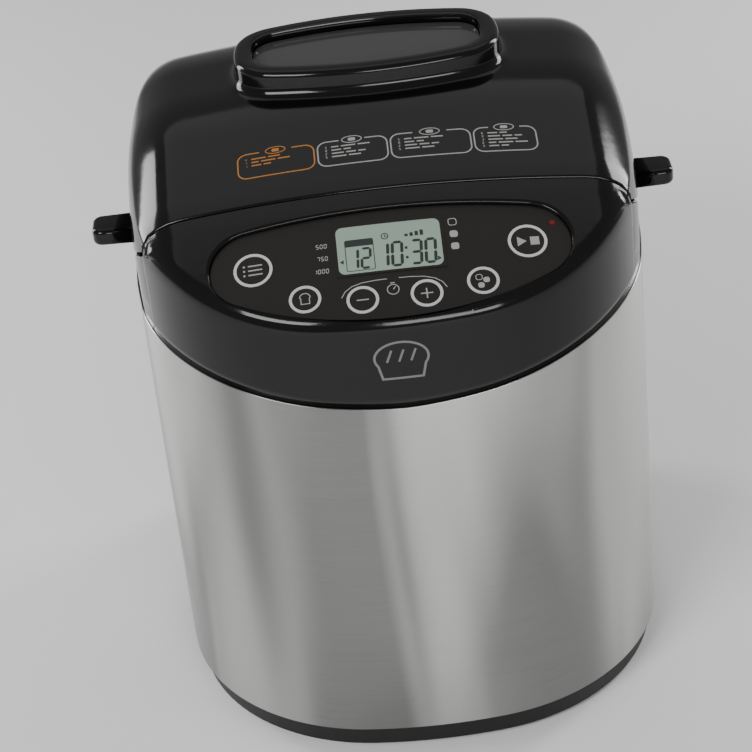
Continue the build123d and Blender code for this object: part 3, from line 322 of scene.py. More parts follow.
def slot_finishes():
    """One material for each finish that the record names."""
    return {
        "black_gloss_abs": gloss_black_abs(),
        "black_matte_abs": textured_black_abs(),
        "brushed_stainless": brushed_stainless(),
        "panel_film": panel_film(),
        "silver_ring": satin_chrome(),
        "lcd_glass": lcd_cell(),
        "lcd_body": plain_moulded("lcd_carrier", "#c9ccc6", 0.5),
        "red_led": plain_moulded("red_lens", "#6e0509", 0.2),
        "circuit_board": plain_moulded("solder_mask", "#0f5a2c", 0.35),
        "zinc_steel": plain_metal("zinc_plated_steel", "#c4c6c8", 0.34, 700.0),
        "black_component": plain_moulded("black_component", "#1b1b1c", 0.45),
        "aluminised_steel": plain_metal("aluminised_steel", "#b5b5b2", 0.42, 300.0),
        "element_steel": plain_metal("drawn_steel", "#8f8c88", 0.36, 900.0),
        "non_stick": plain_moulded("non_stick_coating", "#26262a", 0.38, 1600.0),
        "die_cast": plain_metal("die_cast_aluminium", "#a8a8aa", 0.48, 500.0),
        "sintered_bronze": plain_metal("sintered_bronze", "#9c7a45", 0.45, 1200.0),
        "motor_can": plain_moulded("lacquered_steel", "#47484a", 0.4),
        "rubber": plain_moulded("black_rubber", "#1c1c1c", 0.75),
        "silicone": plain_moulded("grey_silicone", "#6b6a68", 0.6),
        "tinted_glass": smoked_glass(),
    }


# ------------------------------------------------------------------ the body's form, in millimetres

BODY_W = 245.0
BODY_D = 270.0
FRONT = -BODY_D / 2
BACK = BODY_D / 2
SKIN = 0.4

SEAM_Y = FRONT + 65.0
SEAM_Z = 276.0
ROOF_Z = 295.5
TAIL_Y = BACK - 44.0
CONSOLE_SLOPE = radians(26.0)
LID_SLOPE = radians(16.0)
TAIL_SLOPE = radians(-50.0)
KNEE_Y = SEAM_Y + (ROOF_Z - SEAM_Z) / tan(LID_SLOPE)
ARCH_HALF = BODY_W / 2 - 1.0
ARCH_CORNER_R = 32.0
CROWN_R = 810.0
SHOULDER_R = 5.0


class Outline:
    """A rounded rectangle of eight tangent arcs: bowed sides, bowed ends and round corners."""

    def __init__(self, width, depth, side_r, front_r, corner_r, middle_y=0.0):
        """Finds each arc's centre in the first quadrant, and the directions where arcs meet."""
        self.middle_y = middle_y
        self.side = Vector((width / 2 - side_r, 0))
        self.front = Vector((0, depth / 2 - front_r))
        self.radii = (side_r, front_r, corner_r)
        across = self.front - self.side
        unit = across.normalized()
        near = side_r - corner_r
        far = front_r - corner_r
        along = (near ** 2 - far ** 2 + across.length_squared) / (2 * across.length)
        off = (near ** 2 - along ** 2) ** 0.5
        self.corner = max(
            (self.side + unit * along + turn * off for turn in (unit.orthogonal(), -unit.orthogonal())),
            key=lambda centre: centre.x + centre.y)
        self.side_end = self.turn_of(self.corner - self.side)
        self.front_start = self.turn_of(self.corner - self.front)

    @staticmethod
    def turn_of(way):
        return atan2(way.y, way.x)

    def arc(self, turn):
        """Centre and radius of the arc that faces a direction of the first quadrant."""
        if turn < self.side_end:
            return self.side, self.radii[0]
        if turn > self.front_start:
            return self.front, self.radii[1]
        return self.corner, self.radii[2]

    def point(self, turn, inset=0.0):
        """The point whose outward direction has this angle, moved inwards by inset."""
        facing = Vector((cos(turn), sin(turn)))
        folded = atan2(abs(facing.y), abs(facing.x))
        centre, radius = self.arc(folded)
        x = centre.x + (radius - inset) * cos(folded)
        y = centre.y + (radius - inset) * sin(folded)
        return Vector((copysign(x, facing.x), copysign(y, facing.y) + self.middle_y))

    def distance(self, x, y):
        """How far a point is outside the outline, negative inside."""
        place = Vector((abs(x), abs(y - self.middle_y)))
        turn = self.turn_of(place - self.corner)
        if self.side_end <= turn <= self.front_start:
            return (place - self.corner).length - self.radii[2]
        return max((place - self.side).length - self.radii[0], (place - self.front).length - self.radii[1])


BODY = Outline(BODY_W, BODY_D, 318.0, 258.0, 100.0)
RING = Outline(128.0, 66.0, 60.0, 190.0, 22.0, middle_y=29.0)


def square_to(slope):
    """Direction square to a roof line of this slope, in side view."""
    return Vector((-sin(slope), cos(slope)))


def bend_centre(corner, before, after, radius):
    """Centre of the arc that rounds a corner of the roof line."""
    return Vector(corner) - square_to((before + after) / 2) * radius / cos((before - after) / 2)


# Each bend of the roof line, from the front: its corner, the slopes before and after it, its radius
ROOF_BENDS = [
    ((SEAM_Y, SEAM_Z), CONSOLE_SLOPE, LID_SLOPE, 120.0),
    ((KNEE_Y, ROOF_Z), LID_SLOPE, 0.0, 150.0),
    ((TAIL_Y, ROOF_Z), 0.0, TAIL_SLOPE, 95.0),
]
ROOF_ARCS = [(bend_centre(*bend), *bend[1:]) for bend in ROOF_BENDS]


def above_roof_line(y, z):
    """Height of a point over the roof line, square to it, in side view."""
    for centre, before, after, radius in ROOF_ARCS:
        way = Vector((y, z)) - centre
        slope = atan2(-way.x, way.y)
        if slope > before:
            return way.dot(square_to(before)) - radius
        if slope >= after:
            return way.length - radius
    return way.dot(square_to(after)) - radius


def outside_arch(x, rise):
    """How far a point is outside the crowned arch that follows the roof line."""
    centre_x = ARCH_HALF - ARCH_CORNER_R
    centre_v = ((CROWN_R - ARCH_CORNER_R) ** 2 - centre_x ** 2) ** 0.5 - CROWN_R
    side = abs(x) - centre_x
    up = rise - centre_v
    lean = atan2(centre_x, centre_v + CROWN_R)
    if atan2(side, up) < lean and up > 0:
        return hypot(x, rise + CROWN_R) - CROWN_R
    if up > 0:
        return hypot(side, up) - ARCH_CORNER_R
    return abs(x) - ARCH_HALF


def softly(a, b, radius):
    """The larger of two distances, with their edge rounded to a radius."""
    return min(max(a, b), -radius) + hypot(max(a + radius, 0.0), max(b + radius, 0.0))


def outside_body(place, inset=SKIN, edge=SHOULDER_R):
    """How far a point is outside the whole body's rounded form."""
    wall = BODY.distance(place.x, place.y) + inset
    roof = outside_arch(place.x, above_roof_line(place.y, place.z)) + inset
    return softly(wall, roof, edge)


AXES = (Vector((1, 0, 0)), Vector((0, 1, 0)), Vector((0, 0, 1)))
FEEL = 0.01
REACH = 260.0


def facing(place):
    """Outward direction of the body's form at a point."""
    slope = [outside_body(place + axis * FEEL) - outside_body(place - axis * FEEL) for axis in AXES]
    return Vector(slope).normalized()


def settle(place):
    """Moves a point onto the body's form."""
    for _ in range(3):
        place = place - facing(place) * outside_body(place)
    return place


def cast_straight(start, way, halvings=24):
    """Where a ray from a point inside the body leaves it."""
    low, high = 0.0, REACH
    for _ in range(halvings):
        middle = (low + high) / 2
        if outside_body(start + way * middle) < 0:
            low = middle
        else:
            high = middle
    return start + way * low


def cast(start, through):
    """Where the line from a point inside the body through another leaves it."""
    return settle(cast_straight(start, (through - start).normalized(), halvings=18))


def wall_x(y, z):
    """Half of the body's width at a place of its side view."""
    return cast_straight(Vector((0, y, z)), Vector((1, 0, 0))).x


# ------------------------------------------------------------------ making skins

GAP = 1.2
EDGE_R = 0.8
TUCK = 1.5
SHEET_T = 0.6
WELD = 0.02


def new_piece(name, bm):
    """A new object from a bmesh, which is freed."""
    mesh = bpy.data.meshes.new(name)
    bm.to_mesh(mesh)
    bm.free()
    piece = bpy.data.objects.new(name, mesh)
    bpy.context.scene.collection.objects.link(piece)
    return piece


def lay(bm, rows, closed=True):
    """A grid whose rows are laid on the given rows of points, its ends joined when closed."""
    rows = [row + row[:1] for row in rows] if closed else rows
    made = bmesh.ops.create_grid(bm, x_segments=len(rows[0]) - 1, y_segments=len(rows) - 1, size=1.0)
    for vert, place in zip(made["verts"], (place for row in rows for place in row)):
        vert.co = place * MM


def skin(name, patches, inside, angle=40):
    """One smooth open sheet from its patches, facing away from a point inside."""
    bm = bmesh.new()
    for rows, closed in patches:
        lay(bm, rows, closed)
    bmesh.ops.remove_doubles(bm, verts=bm.verts, dist=WELD * MM)
    bmesh.ops.recalc_face_normals(bm, faces=bm.faces)
    outward = (face.normal.dot(face.calc_center_median() - inside * MM) for face in bm.faces)
    if sum(outward) < 0:
        bmesh.ops.reverse_faces(bm, faces=bm.faces)
    piece = new_piece(name, bm)
    piece.data.shade_smooth()
    piece.data.set_sharp_from_angle(angle=radians(angle))
    return piece


def give_wall(piece, thickness):
    """Thickens a sheet inwards."""
    wall = piece.modifiers.new("wall", "SOLIDIFY")
    wall.thickness = thickness * MM
    wall.offset = -1.0
    wall.use_even_offset = False


def turned_in(edge, cut, face=None, radius=EDGE_R, tuck=TUCK):
    """Four points that round a skin's edge over onto the cut face and tuck it in."""
    face = face or facing(edge)
    middle = edge - (face + cut) * radius / (1 + face.dot(cut))
    return [
        middle + face * radius,
        middle + (face + cut).normalized() * radius,
        middle + cut * radius,
        middle + cut * (radius - 0.15) - face * tuck,
    ]


def lerp(a, b, share):
    return a + (b - a) * share


def even_turns(outline, count, dense=1440):
    """Directions that step evenly along an outline, from -pi/2 right round."""
    turns = [-pi / 2 + 2 * pi * i / dense for i in range(dense + 1)]
    places = [outline.point(turn) for turn in turns]
    lengths = [0.0]
    for a, b in zip(places, places[1:]):
        lengths.append(lengths[-1] + (b - a).length)
    picked = []
    j = 0
    for i in range(count):
        want = lengths[-1] * i / count
        while lengths[j + 1] < want:
            j += 1
        share = (want - lengths[j]) / (lengths[j + 1] - lengths[j])
        picked.append(turns[j] + (turns[j + 1] - turns[j]) * share)
    return picked


def other_side(place):
    return Vector((-place.x, place.y, place.z))


def mirrored(places):
    """The same points on the other side, in the opposite order."""
    return [other_side(place) for place in reversed(places)]


def crosswise(columns):
    """Rows from columns of points."""
    return [list(row) for row in zip(*columns)]


# ------------------------------------------------------------------ lid skin

DECK_Z = 223.5
LID_FRONT = SEAM_Y + GAP
LID_REAR = BACK - 20.0
LID_LOW = DECK_Z + GAP
SIDE_HIGH_Z = 254.0
SIDE_LOW_Y = -8.0
RING_TOP = 305.0
RING_BAND = 9.0
RING_LIP = 1.2
LIP_STEP = 0.35
RING_FOOT_R = 4.5
RING_EDGE_R = 3.0
PANE_TOP = RING_TOP - 4.5
LID_HEART = Vector((0, 23, 215))
UP = AXES[2]
LID_SIDE_STEPS = 62
LID_REAR_STEPS = 100
LID_FRONT_STEPS = 90
LID_ROWS = 40
QUARTER = [pi / 2 * i / 6 for i in range(7)]


def side_edge_z(y, gap):
    """Height of the slanting lower edge of the lid's side, or of the housing under it."""
    low_y = SIDE_LOW_Y + gap
    high_y = SEAM_Y + gap
    if y >= low_y:
        return DECK_Z + gap
    return DECK_Z + gap + (SIDE_HIGH_Z - DECK_Z) * (low_y - y) / (low_y - high_y)


def lid_side(count):
    """The lid's lower edge along the +X side, from its front to its rear."""
    edge = []
    for i in range(count):
        y = lerp(LID_FRONT, LID_REAR, i / (count - 1))
        z = side_edge_z(y, GAP)
        edge.append(Vector((wall_x(y, z), y, z)))
    return edge


def fan(y, z, low, count):
    """The section's edge in a plane square to Y, from a height on the +X wall over to the other."""
    first = atan2(low - z, wall_x(y, low))
    angles = [lerp(first, pi - first, i / (count - 1)) for i in range(count)]
    return [cast_straight(Vector((0, y, z)), Vector((cos(angle), 0, sin(angle)))) for angle in angles]


def cut_at(place):
    """Outward direction of the lid's cut face at a point of its lower edge."""
    if place.y <= LID_FRONT + 0.01:
        return Vector((0, -1, 0))
    if place.y >= LID_REAR - 0.01 and place.z > LID_LOW + 0.5:
        return Vector((0, 1, 0))
    if place.y < SIDE_LOW_Y + GAP:
        return Vector((0, -(SIDE_HIGH_Z - DECK_Z), -(SIDE_LOW_Y - SEAM_Y))).normalized()
    return Vector((0, 0, -1))


def ring_place(turn, inset, height):
    plan = RING.point(turn, inset)
    return Vector((plan.x, plan.y, height))


def ring_foot(turn, outset):
    """A point of the roof beside the window ring."""
    plan = RING.point(turn, -outset)
    return cast_straight(Vector((plan.x, plan.y, LID_HEART.z)), UP)


def ring_rows(turns):
    """The window ring from the pane up, over its top and rounded edge, down to its hollow foot."""
    lip = (
        (RING_BAND, PANE_TOP - 0.7), (RING_BAND, RING_TOP - RING_LIP),
        (RING_BAND - LIP_STEP, RING_TOP - LIP_STEP), (RING_BAND - RING_LIP, RING_TOP),
        (lerp(RING_EDGE_R, RING_BAND, 0.4), RING_TOP),
    )
    rows = [[ring_place(turn, inset, height) for turn in turns] for inset, height in lip]
    for lean in QUARTER:
        inset = RING_EDGE_R * (1 - sin(lean))
        height = RING_TOP - RING_EDGE_R * (1 - cos(lean))
        rows.append([ring_place(turn, inset, height) for turn in turns])
    for lean in reversed(QUARTER):
        outset = RING_FOOT_R * (1 - sin(lean))
        lift = UP * RING_FOOT_R * (1 - cos(lean))
        rows.append([ring_foot(turn, outset) + lift for turn in turns])
    return rows


def lid_patches():
    """One closed grid from the pane over the ring and the roof to the lid's lower edge."""
    side = lid_side(LID_SIDE_STEPS)
    rear = fan(LID_REAR, LID_LOW + 8, LID_LOW, LID_REAR_STEPS)
    front = fan(LID_FRONT, LID_LOW + 6, side_edge_z(LID_FRONT, GAP), LID_FRONT_STEPS)
    front = [other_side(place) for place in front]
    half = LID_FRONT_STEPS // 2
    edge = front[half:-1] + side[:-1] + rear[:-1] + mirrored(side)[:-1] + front[:half]
    turns = even_turns(RING, len(edge))
    feet = [ring_foot(turn, RING_FOOT_R) for turn in turns]
    rows = ring_rows(turns)
    for i in range(1, LID_ROWS):
        rows.append([cast(LID_HEART, lerp(foot, low, i / LID_ROWS)) for foot, low in zip(feet, edge)])
    rows += crosswise(turned_in(low, cut_at(low)) for low in edge)
    return [(rows, True)]


# ------------------------------------------------------------------ housing skin

PANEL_ORIGIN = Vector((0, SEAM_Y - 59.0, SEAM_Z - 59.0 * tan(CONSOLE_SLOPE)))
PANEL_UP = Vector((0, cos(CONSOLE_SLOPE), sin(CONSOLE_SLOPE)))
PANEL_OUT = Vector((0, -sin(CONSOLE_SLOPE), cos(CONSOLE_SLOPE)))
PANEL_LOW = -4.6
PANEL_HIGH = 55.0
PANEL_LOW_R = 150.0
PANEL_TOP_R = 460.0
PANEL_END_R = 20.0
PANEL_DEPTH = 2.4
PANEL_LIP = 0.9
UNDER = 20.0
ROOF_SEARCH = (200.0, 310.0)
STEEL_Z = 14.3
STEEL_TOP = 198.65
STEEL_RISE = 17.5
STEEL_POWER = 1.535
STEEL_GAP = 0.6
WRAP_END_Y = BACK - 38.0
BEAM_Y = LID_REAR + 2.0
BEAM_Z = 232.0
HOUSING_STEPS = 560
SHOULDER_TURN = 0.12
CONSOLE_ROWS = 22
BAND_SHARES = (0.0, 0.03, 0.07, 0.12, 0.2, 0.32, 0.46, 0.6, 0.74, 0.88, 1.0)
SIDE_SHARES = (0.3, 0.6, 1.0)


def on_panel(x, s, height=0.0):
    """A point given across and up the console, and square to it."""
    return PANEL_ORIGIN + AXES[0] * x + PANEL_UP * s + PANEL_OUT * height


def on_console(x, s):
    """The point of the crowned console straight over a point of the flat panel."""
    return cast_straight(on_panel(x, s, -UNDER), PANEL_OUT)


class Almond:
    """The panel's outline: a deep lower arc, a nearly flat upper arc and round ends."""

    def __init__(self):
        """Finds the arcs' centres, and the directions where the end arcs start and stop."""
        self.low = Vector((0, PANEL_LOW + PANEL_LOW_R))
        self.top = Vector((0, PANEL_HIGH - PANEL_TOP_R))
        span = self.low.y - self.top.y
        a = PANEL_TOP_R - PANEL_END_R
        b = PANEL_LOW_R - PANEL_END_R
        along = (a * a - b * b + span * span) / (2 * span)
        self.end = Vector(((a * a - along * along) ** 0.5, self.top.y + along))
        self.low_end = Outline.turn_of(self.end - self.low)
        self.top_start = Outline.turn_of(self.end - self.top)

    def point(self, turn, inset=0.0):
        """The point whose outward direction has this angle, moved inwards by inset."""
        facing_x = cos(turn)
        folded = atan2(sin(turn), abs(facing_x))
        centre, radius = self.end, PANEL_END_R
        if folded < self.low_end:
            centre, radius = self.low, PANEL_LOW_R
        elif folded > self.top_start:
            centre, radius = self.top, PANEL_TOP_R
        x = centre.x + (radius - inset) * cos(folded)
        s = centre.y + (radius - inset) * sin(folded)
        return Vector((copysign(x, facing_x), s))


PANEL = Almond()


def steel_edge_z(x):
    """Height of the steel's curved top edge."""
    return STEEL_TOP + STEEL_RISE * (abs(x) * 2 / BODY_W) ** STEEL_POWER


def roof_z(x, y):
    """Height of the roof alone at a plan position."""
    low, high = ROOF_SEARCH
    for _ in range(24):
        middle = (low + high) / 2
        if outside_arch(x, above_roof_line(y, middle)) + SKIN < 0:
            low = middle
        else:
            high = middle
    return low


def turn_at_y(y, rear=False):
    """Direction at which the body's outline passes a given Y on the +X side."""
    low, top = (0.0, pi / 2) if rear else (-pi / 2, 0.0)
    for _ in range(30):
        middle = (low + top) / 2
        if BODY.point(middle, SKIN).y < y:
            low = middle
        else:
            top = middle
    return low


def shoulder():
    """The edge between the console and the front wall, from the +X end of the seam to the other."""
    start = turn_at_y(SEAM_Y)
    turns = [turn for turn in even_turns(BODY, HOUSING_STEPS) if turn <= start]
    half = []
    for turn in reversed(turns):
        plan = BODY.point(turn, SKIN)
        share = max(0.0, 1 - (start - turn) / SHOULDER_TURN)
        ease = share * share * (3 - 2 * share)
        z = lerp(roof_z(plan.x, plan.y), SIDE_HIGH_Z, ease)
        half.append((turn, settle(Vector((plan.x, plan.y, z)))))
    corner = Vector((wall_x(SEAM_Y, SIDE_HIGH_Z), SEAM_Y, SIDE_HIGH_Z))
    half[0] = (start, corner)
    return half


def pocket_place(turn, inset, height):
    """A point of the pocket's edge, its height measured from the crowned console."""
    return on_console(*PANEL.point(turn, inset)) + PANEL_OUT * height


def console_patch(edge):
    """A grid from the panel's pocket, over its rounded lip, out to the console's edge."""
    turns = even_turns(PANEL, len(edge))
    wall = ((0.04, -PANEL_DEPTH - 0.2), (0.04, -1.3), (-PANEL_LIP * 0.13, -0.5), (-PANEL_LIP * 0.5, -0.13))
    rows = [[pocket_place(turn, inset, height) for turn in turns] for inset, height in wall]
    rim = [pocket_place(turn, -PANEL_LIP, 0.0) for turn in turns]
    rows.append(rim)
    for i in range(1, CONSOLE_ROWS):
        share = 1 - (1 - i / CONSOLE_ROWS) ** 1.5
        rows.append([settle(lerp(near, far, share)) for near, far in zip(rim, edge)])
    rows.append(edge)
    return rows


def band_patch(brow):
    """The front band, from the shoulder down to the steel's edge."""
    columns = []
    for turn, place in brow:
        plan = BODY.point(turn, SKIN)
        low = Vector((plan.x, plan.y, steel_edge_z(plan.x) + STEEL_GAP))
        columns.append([place] + [settle(lerp(place, low, share)) for share in BAND_SHARES[1:]])
    return crosswise(columns)


def side_patch(start):
    """The housing's outside from under the lid's edge to the steel, from the seam to the rear middle."""
    turns = [start] + [turn for turn in even_turns(BODY, HOUSING_STEPS) if start < turn < pi / 2] + [pi / 2]
    slant = Vector((0, SIDE_HIGH_Z - DECK_Z, SIDE_LOW_Y - SEAM_Y)).normalized()
    columns = []
    for turn in turns:
        plan = BODY.point(turn, SKIN)
        high = BEAM_Z if plan.y > BEAM_Y else side_edge_z(plan.y, 0.0)
        top = Vector((wall_x(plan.y, high) if plan.x > 1 else plan.x, plan.y, high))
        low = steel_edge_z(plan.x) + STEEL_GAP
        cut = UP if plan.y > SIDE_LOW_Y else slant
        column = turned_in(top, cut, Vector((cos(turn), sin(turn), 0)))
        column.reverse()
        column += [settle(Vector((plan.x, plan.y, lerp(high, low, share)))) for share in SIDE_SHARES]
        columns.append(column)
    return crosswise(columns)


def housing_patches():
    """The console, the front band, both sides and the cut face along the seam."""
    half = shoulder()
    start = half[0][0]
    brow = half + [(-pi - turn, other_side(place)) for turn, place in reversed(half[:-1])]
    seam = fan(SEAM_Y, DECK_Z + 6, SIDE_HIGH_Z, 90)
    seam.reverse()
    edge = [place for _, place in brow] + seam[1:-1]
    middle = len(half) - 1
    edge = edge[middle:] + edge[:middle]
    edge.reverse()
    side = side_patch(start)
    far_side = [[other_side(place) for place in row] for row in side]
    face = crosswise(turned_in(place, AXES[1]) for place in seam)
    open_patches = (band_patch(brow), side, far_side, face)
    return [(console_patch(edge), True)] + [(rows, False) for rows in open_patches]


# ------------------------------------------------------------------ steel skin

STEEL_T = 0.8
STEEL_STEPS = 480
ROLL_TURNS = (0, 0.5, 1.0, 1.57, 2.3, pi)


def steel_patches():
    """The wrap's sheet with its rolled top edge and plain bottom edge."""
    last = turn_at_y(WRAP_END_Y, rear=True)
    turns = [turn for turn in even_turns(BODY, STEEL_STEPS) if turn < last] + [last]
    turns = [-pi - turn for turn in reversed(turns[1:])] + turns
    half = STEEL_T / 2
    columns = []
    for turn in turns:
        top = steel_edge_z(BODY.point(turn).x)
        profile = [(half, STEEL_Z + 0.2), (0.1, STEEL_Z), (0.0, STEEL_Z + 0.3)]
        profile += [(0.0, lerp(STEEL_Z, top, share)) for share in (0.33, 0.66)]
        profile += [(half - half * cos(lean), top - half + half * sin(lean)) for lean in ROLL_TURNS]
        profile += [(STEEL_T, STEEL_Z)]
        columns.append([Vector((*BODY.point(turn, inset), z)) for inset, z in profile])
    return [(crosswise(columns), False)]


# ------------------------------------------------------------------ prints

INK_T = 0.03
LIFT = 0.01
CLOCK = "10:30"
PROGRAMME = "12"
SEGMENTS = {
    "0": "abcdef", "1": "bc", "2": "abged", "3": "abgcd", "4": "fgbc",
    "5": "afgcd", "6": "afgedc", "7": "abc", "8": "abcdefg", "9": "abcdfg",
}


def ribbon(bm, points, width, closed=False):
    """A flat line of even width along points, its corners mitred."""
    points = [Vector(point) for point in points]
    count = len(points)
    pairs = []
    for i, point in enumerate(points):
        before = points[i - 1] if closed or i else points[i] * 2 - points[i + 1]
        after = points[(i + 1) % count] if closed or i < count - 1 else points[i] * 2 - points[i - 1]
        a = (point - before).normalized()
        b = (after - point).normalized()
        side = Vector((-(a.y + b.y), a.x + b.x)).normalized()
        reach = width / 2 / max(0.4, side.dot(Vector((-a.y, a.x))))
        pairs.append([bm.verts.new((*(point + side * reach * s), 0)) for s in (1, -1)])
    for i in range(count if closed else count - 1):
        near, far = pairs[i], pairs[(i + 1) % count]
        bm.faces.new((near[1], far[1], far[0], near[0]))


def patch(bm, points):
    """A flat filled shape."""
    bm.faces.new([bm.verts.new((x, y, 0)) for x, y in points])


def ring_points(x, y, radius, start=0.0, end=2 * pi, steps=24):
    """Points along an arc, both ends included."""
    turns = [lerp(start, end, i / steps) for i in range(steps + 1)]
    return [(x + radius * cos(turn), y + radius * sin(turn)) for turn in turns]


def round_box(x, y, width, height, radius, steps=5):
    """Corner points of a rounded rectangle about its middle."""
    points = []
    for quarter, (sx, sy) in enumerate(((1, 1), (-1, 1), (-1, -1), (1, -1))):
        middle = (x + sx * (width / 2 - radius), y + sy * (height / 2 - radius))
        start = quarter * pi / 2
        points += ring_points(*middle, radius, start, start + pi / 2, steps)
    return points


def with_sides(points, step):
    """The same closed outline with its long sides divided."""
    out = []
    for a, b in zip(points, points[1:] + points[:1]):
        a, b = Vector(a), Vector(b)
        count = max(1, round((b - a).length / step))
        out += [lerp(a, b, i / count) for i in range(count)]
    return out


def digit(bm, glyph, x, y, width, height, bar):
    """A seven-segment digit whose lower left corner is at x, y."""
    half = height / 2
    gap = bar * 0.6
    ends = {
        "a": ((0, height), (width, height)), "b": ((width, half), (width, height)),
        "c": ((width, 0), (width, half)), "d": ((0, 0), (width, 0)), "e": ((0, 0), (0, half)),
        "f": ((0, half), (0, height)), "g": ((0, half), (width, half)),
    }
    for name in SEGMENTS[glyph]:
        a, b = (Vector(end) for end in ends[name])
        way = (b - a).normalized()
        side = Vector((-way.y, way.x)) * bar / 2
        a = a + way * gap
        b = b - way * gap
        outline = [a - way * bar / 2, a - side, b - side, b + way * bar / 2, b + side, a + side]
        patch(bm, [(x + p.x + 0.06 * p.y, y + p.y) for p in outline])


def number(bm, text, x, y, height):
    """Small print digits, their lower left corner at x, y."""
    for glyph in text:
        digit(bm, glyph, x, y, height * 0.5, height, height * 0.17)
        x += height * 0.85


def printed(name, bm, onto, material, body):
    """A flat drawing laid onto a surface as a thin coat of ink."""
    for vert in bm.verts:
        vert.co = onto(vert.co.x, vert.co.y) * MM
    piece = new_piece(name, bm)
    coat = piece.modifiers.new("coat", "SOLIDIFY")
    coat.thickness = INK_T * MM
    coat.offset = 1.0
    piece.data.materials.append(material)
    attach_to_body(piece, body)
    return piece


def on_film(depth):
    """Places a drawing at a depth under the crowned console."""
    def place(x, s):
        return on_console(x, s) - PANEL_OUT * (depth - SKIN)
    return place


def on_lid_slope(x, y):
    """A point of the lid's top straight over a plan position, a hair above it."""
    top = cast_straight(Vector((x, y, LID_HEART.z)), UP)
    return top + facing(top) * LIFT


def on_front(x, z):
    """A point of the front band seen from straight ahead, a hair in front of it."""
    return cast_straight(Vector((x, SEAM_Y, z)), -AXES[1]) - AXES[1] * LIFT


def print_panel():
    """Loaf weights, crust marks, the arcs over the timer keys and a stopwatch."""
    bm = bmesh.new()
    for (x, s), text in zip(((-32.6, 37.6), (-32.6, 30.9), (-34.4, 24.2)), ("500", "750", "1000")):
        number(bm, text, x, s, 2.1)
    for i, s in enumerate((44.6, 38.0, 31.4)):
        slice_outline = round_box(29.2, s, 3.6, 3.6, 1.1)
        if i:
            patch(bm, slice_outline)
        else:
            ribbon(bm, slice_outline, 0.4, closed=True)
    for side in (1, -1):
        ribbon(bm, [(side * x, s) for x, s in TIMER_ARC], 0.4)
    ribbon(bm, ring_points(-0.4, 11.4, 2.6), 0.42)
    ribbon(bm, [(-0.4, 11.4), (0.8, 12.9)], 0.42)
    ribbon(bm, [(-1.4, 14.9), (0.6, 14.9)], 0.5)
    printed("panel_print", bm, on_film(PANEL_DEPTH - 0.02), inks["grey"], "machine")


TIMER_ARC = ((2.6, 17.3), (8, 17.2), (14, 16.6), (18.5, 15.2), (21.6, 12.9), (23.4, 9.8))


def icon_shapes(bm, name, x, s):
    """The pictogram on each key."""
    if name == "menu_button":
        for i in (-1, 0, 1):
            ribbon(bm, [(x - 2.2, s + i * 2.4), (x + 4.2, s + i * 2.4)], 0.7)
            patch(bm, ring_points(x - 4.0, s + i * 2.4, 0.55, steps=10)[:-1])
    elif name == "start_button":
        patch(bm, [(x - 4.6, s - 2.6), (x - 0.4, s), (x - 4.6, s + 2.6)])
        patch(bm, [(x + 1.2, s - 2.2), (x + 5.2, s - 2.2), (x + 5.2, s + 2.2), (x + 1.2, s + 2.2)])
    elif name == "loaf_button":
        crown = ring_points(x, s + 0.8, 2.4, 0.15, pi - 0.15, 10)
        right = [(x + 1.9, s - 2.4), (x + 1.9, s + 0.4)]
        left = [(x - 1.9, s + 0.4), (x - 1.9, s - 2.4)]
        ribbon(bm, right + crown + left, 0.45, closed=True)
    elif name == "crust_button":
        patch(bm, round_box(x + 1.5, s + 0.3, 2.8, 2.8, 1.0))
        patch(bm, round_box(x - 1.1, s - 2.4, 2.8, 2.8, 1.0))
        ribbon(bm, round_box(x - 1.7, s + 1.9, 2.8, 2.8, 1.0), 0.35, closed=True)
    else:
        ribbon(bm, [(x - 2.7, s), (x + 2.7, s)], 0.6)
        if name == "plus_button":
            ribbon(bm, [(x, s - 2.7), (x, s - 0.3)], 0.6)
            ribbon(bm, [(x, s + 0.3), (x, s + 2.7)], 0.6)


def print_keys():
    """Each pictogram moves with its key."""
    for name, (x, s) in KEYS.items():
        bm = bmesh.new()
        icon_shapes(bm, name, x, s)
        printed(name + "_icon", bm, on_film(PANEL_DEPTH - 0.12), inks["grey"], name)


KEYS = {
    "menu_button": (-61.5, 31.0), "start_button": (61.5, 31.0),
    "loaf_button": (-39.5, 11.6), "crust_button": (39.5, 11.6),
    "minus_button": (-14.2, 7.6), "plus_button": (14.2, 7.6),
}
LCD_W = 49.0
LCD_H = 27.0
LCD_S = 34.6
BEZEL_OVER = 0.4


def print_display():
    """The display's programme box, clock and small marks."""
    bm = bmesh.new()
    ribbon(bm, with_sides(round_box(-13.4, 31.6, 12.6, 16.6, 0.8), 3.0), 0.35, closed=True)
    patch(bm, [(-19.6, 36.4), (-7.2, 36.4), (-7.2, 39.9), (-19.6, 39.9)])
    for i, glyph in enumerate(PROGRAMME):
        digit(bm, glyph, -18.6 + i * 5.6, 24.4, 3.8, 10.4, 1.25)
    x = -5.6
    for glyph in CLOCK:
        if glyph == ":":
            for s in (27.6, 32.8):
                patch(bm, round_box(x + 0.4, s, 1.2, 1.4, 0.3, steps=2))
            x += 2.4
        else:
            digit(bm, glyph, x, 23.9, 4.2, 12.4, 1.4)
            x += 6.3
    patch(bm, [(-22.6, 28.6), (-20.9, 27.4), (-20.9, 29.8)])
    patch(bm, [(22.6, 25.6), (20.9, 26.8), (20.9, 24.4)])
    ribbon(bm, ring_points(-1.6, 40.2, 1.5, steps=16), 0.45)
    ribbon(bm, [(-1.6, 41.1), (-1.6, 40.1), (-0.9, 39.7)], 0.4)
    for i in range(4):
        patch(bm, round_box(8.0 + i * 2.3, 39.6 + 0.25 * i, 1.5, 1.4 + 0.5 * i, 0.2, steps=2))
    printed("lcd_digits", bm, on_film(PANEL_DEPTH - 0.22), inks["lcd"], "machine")


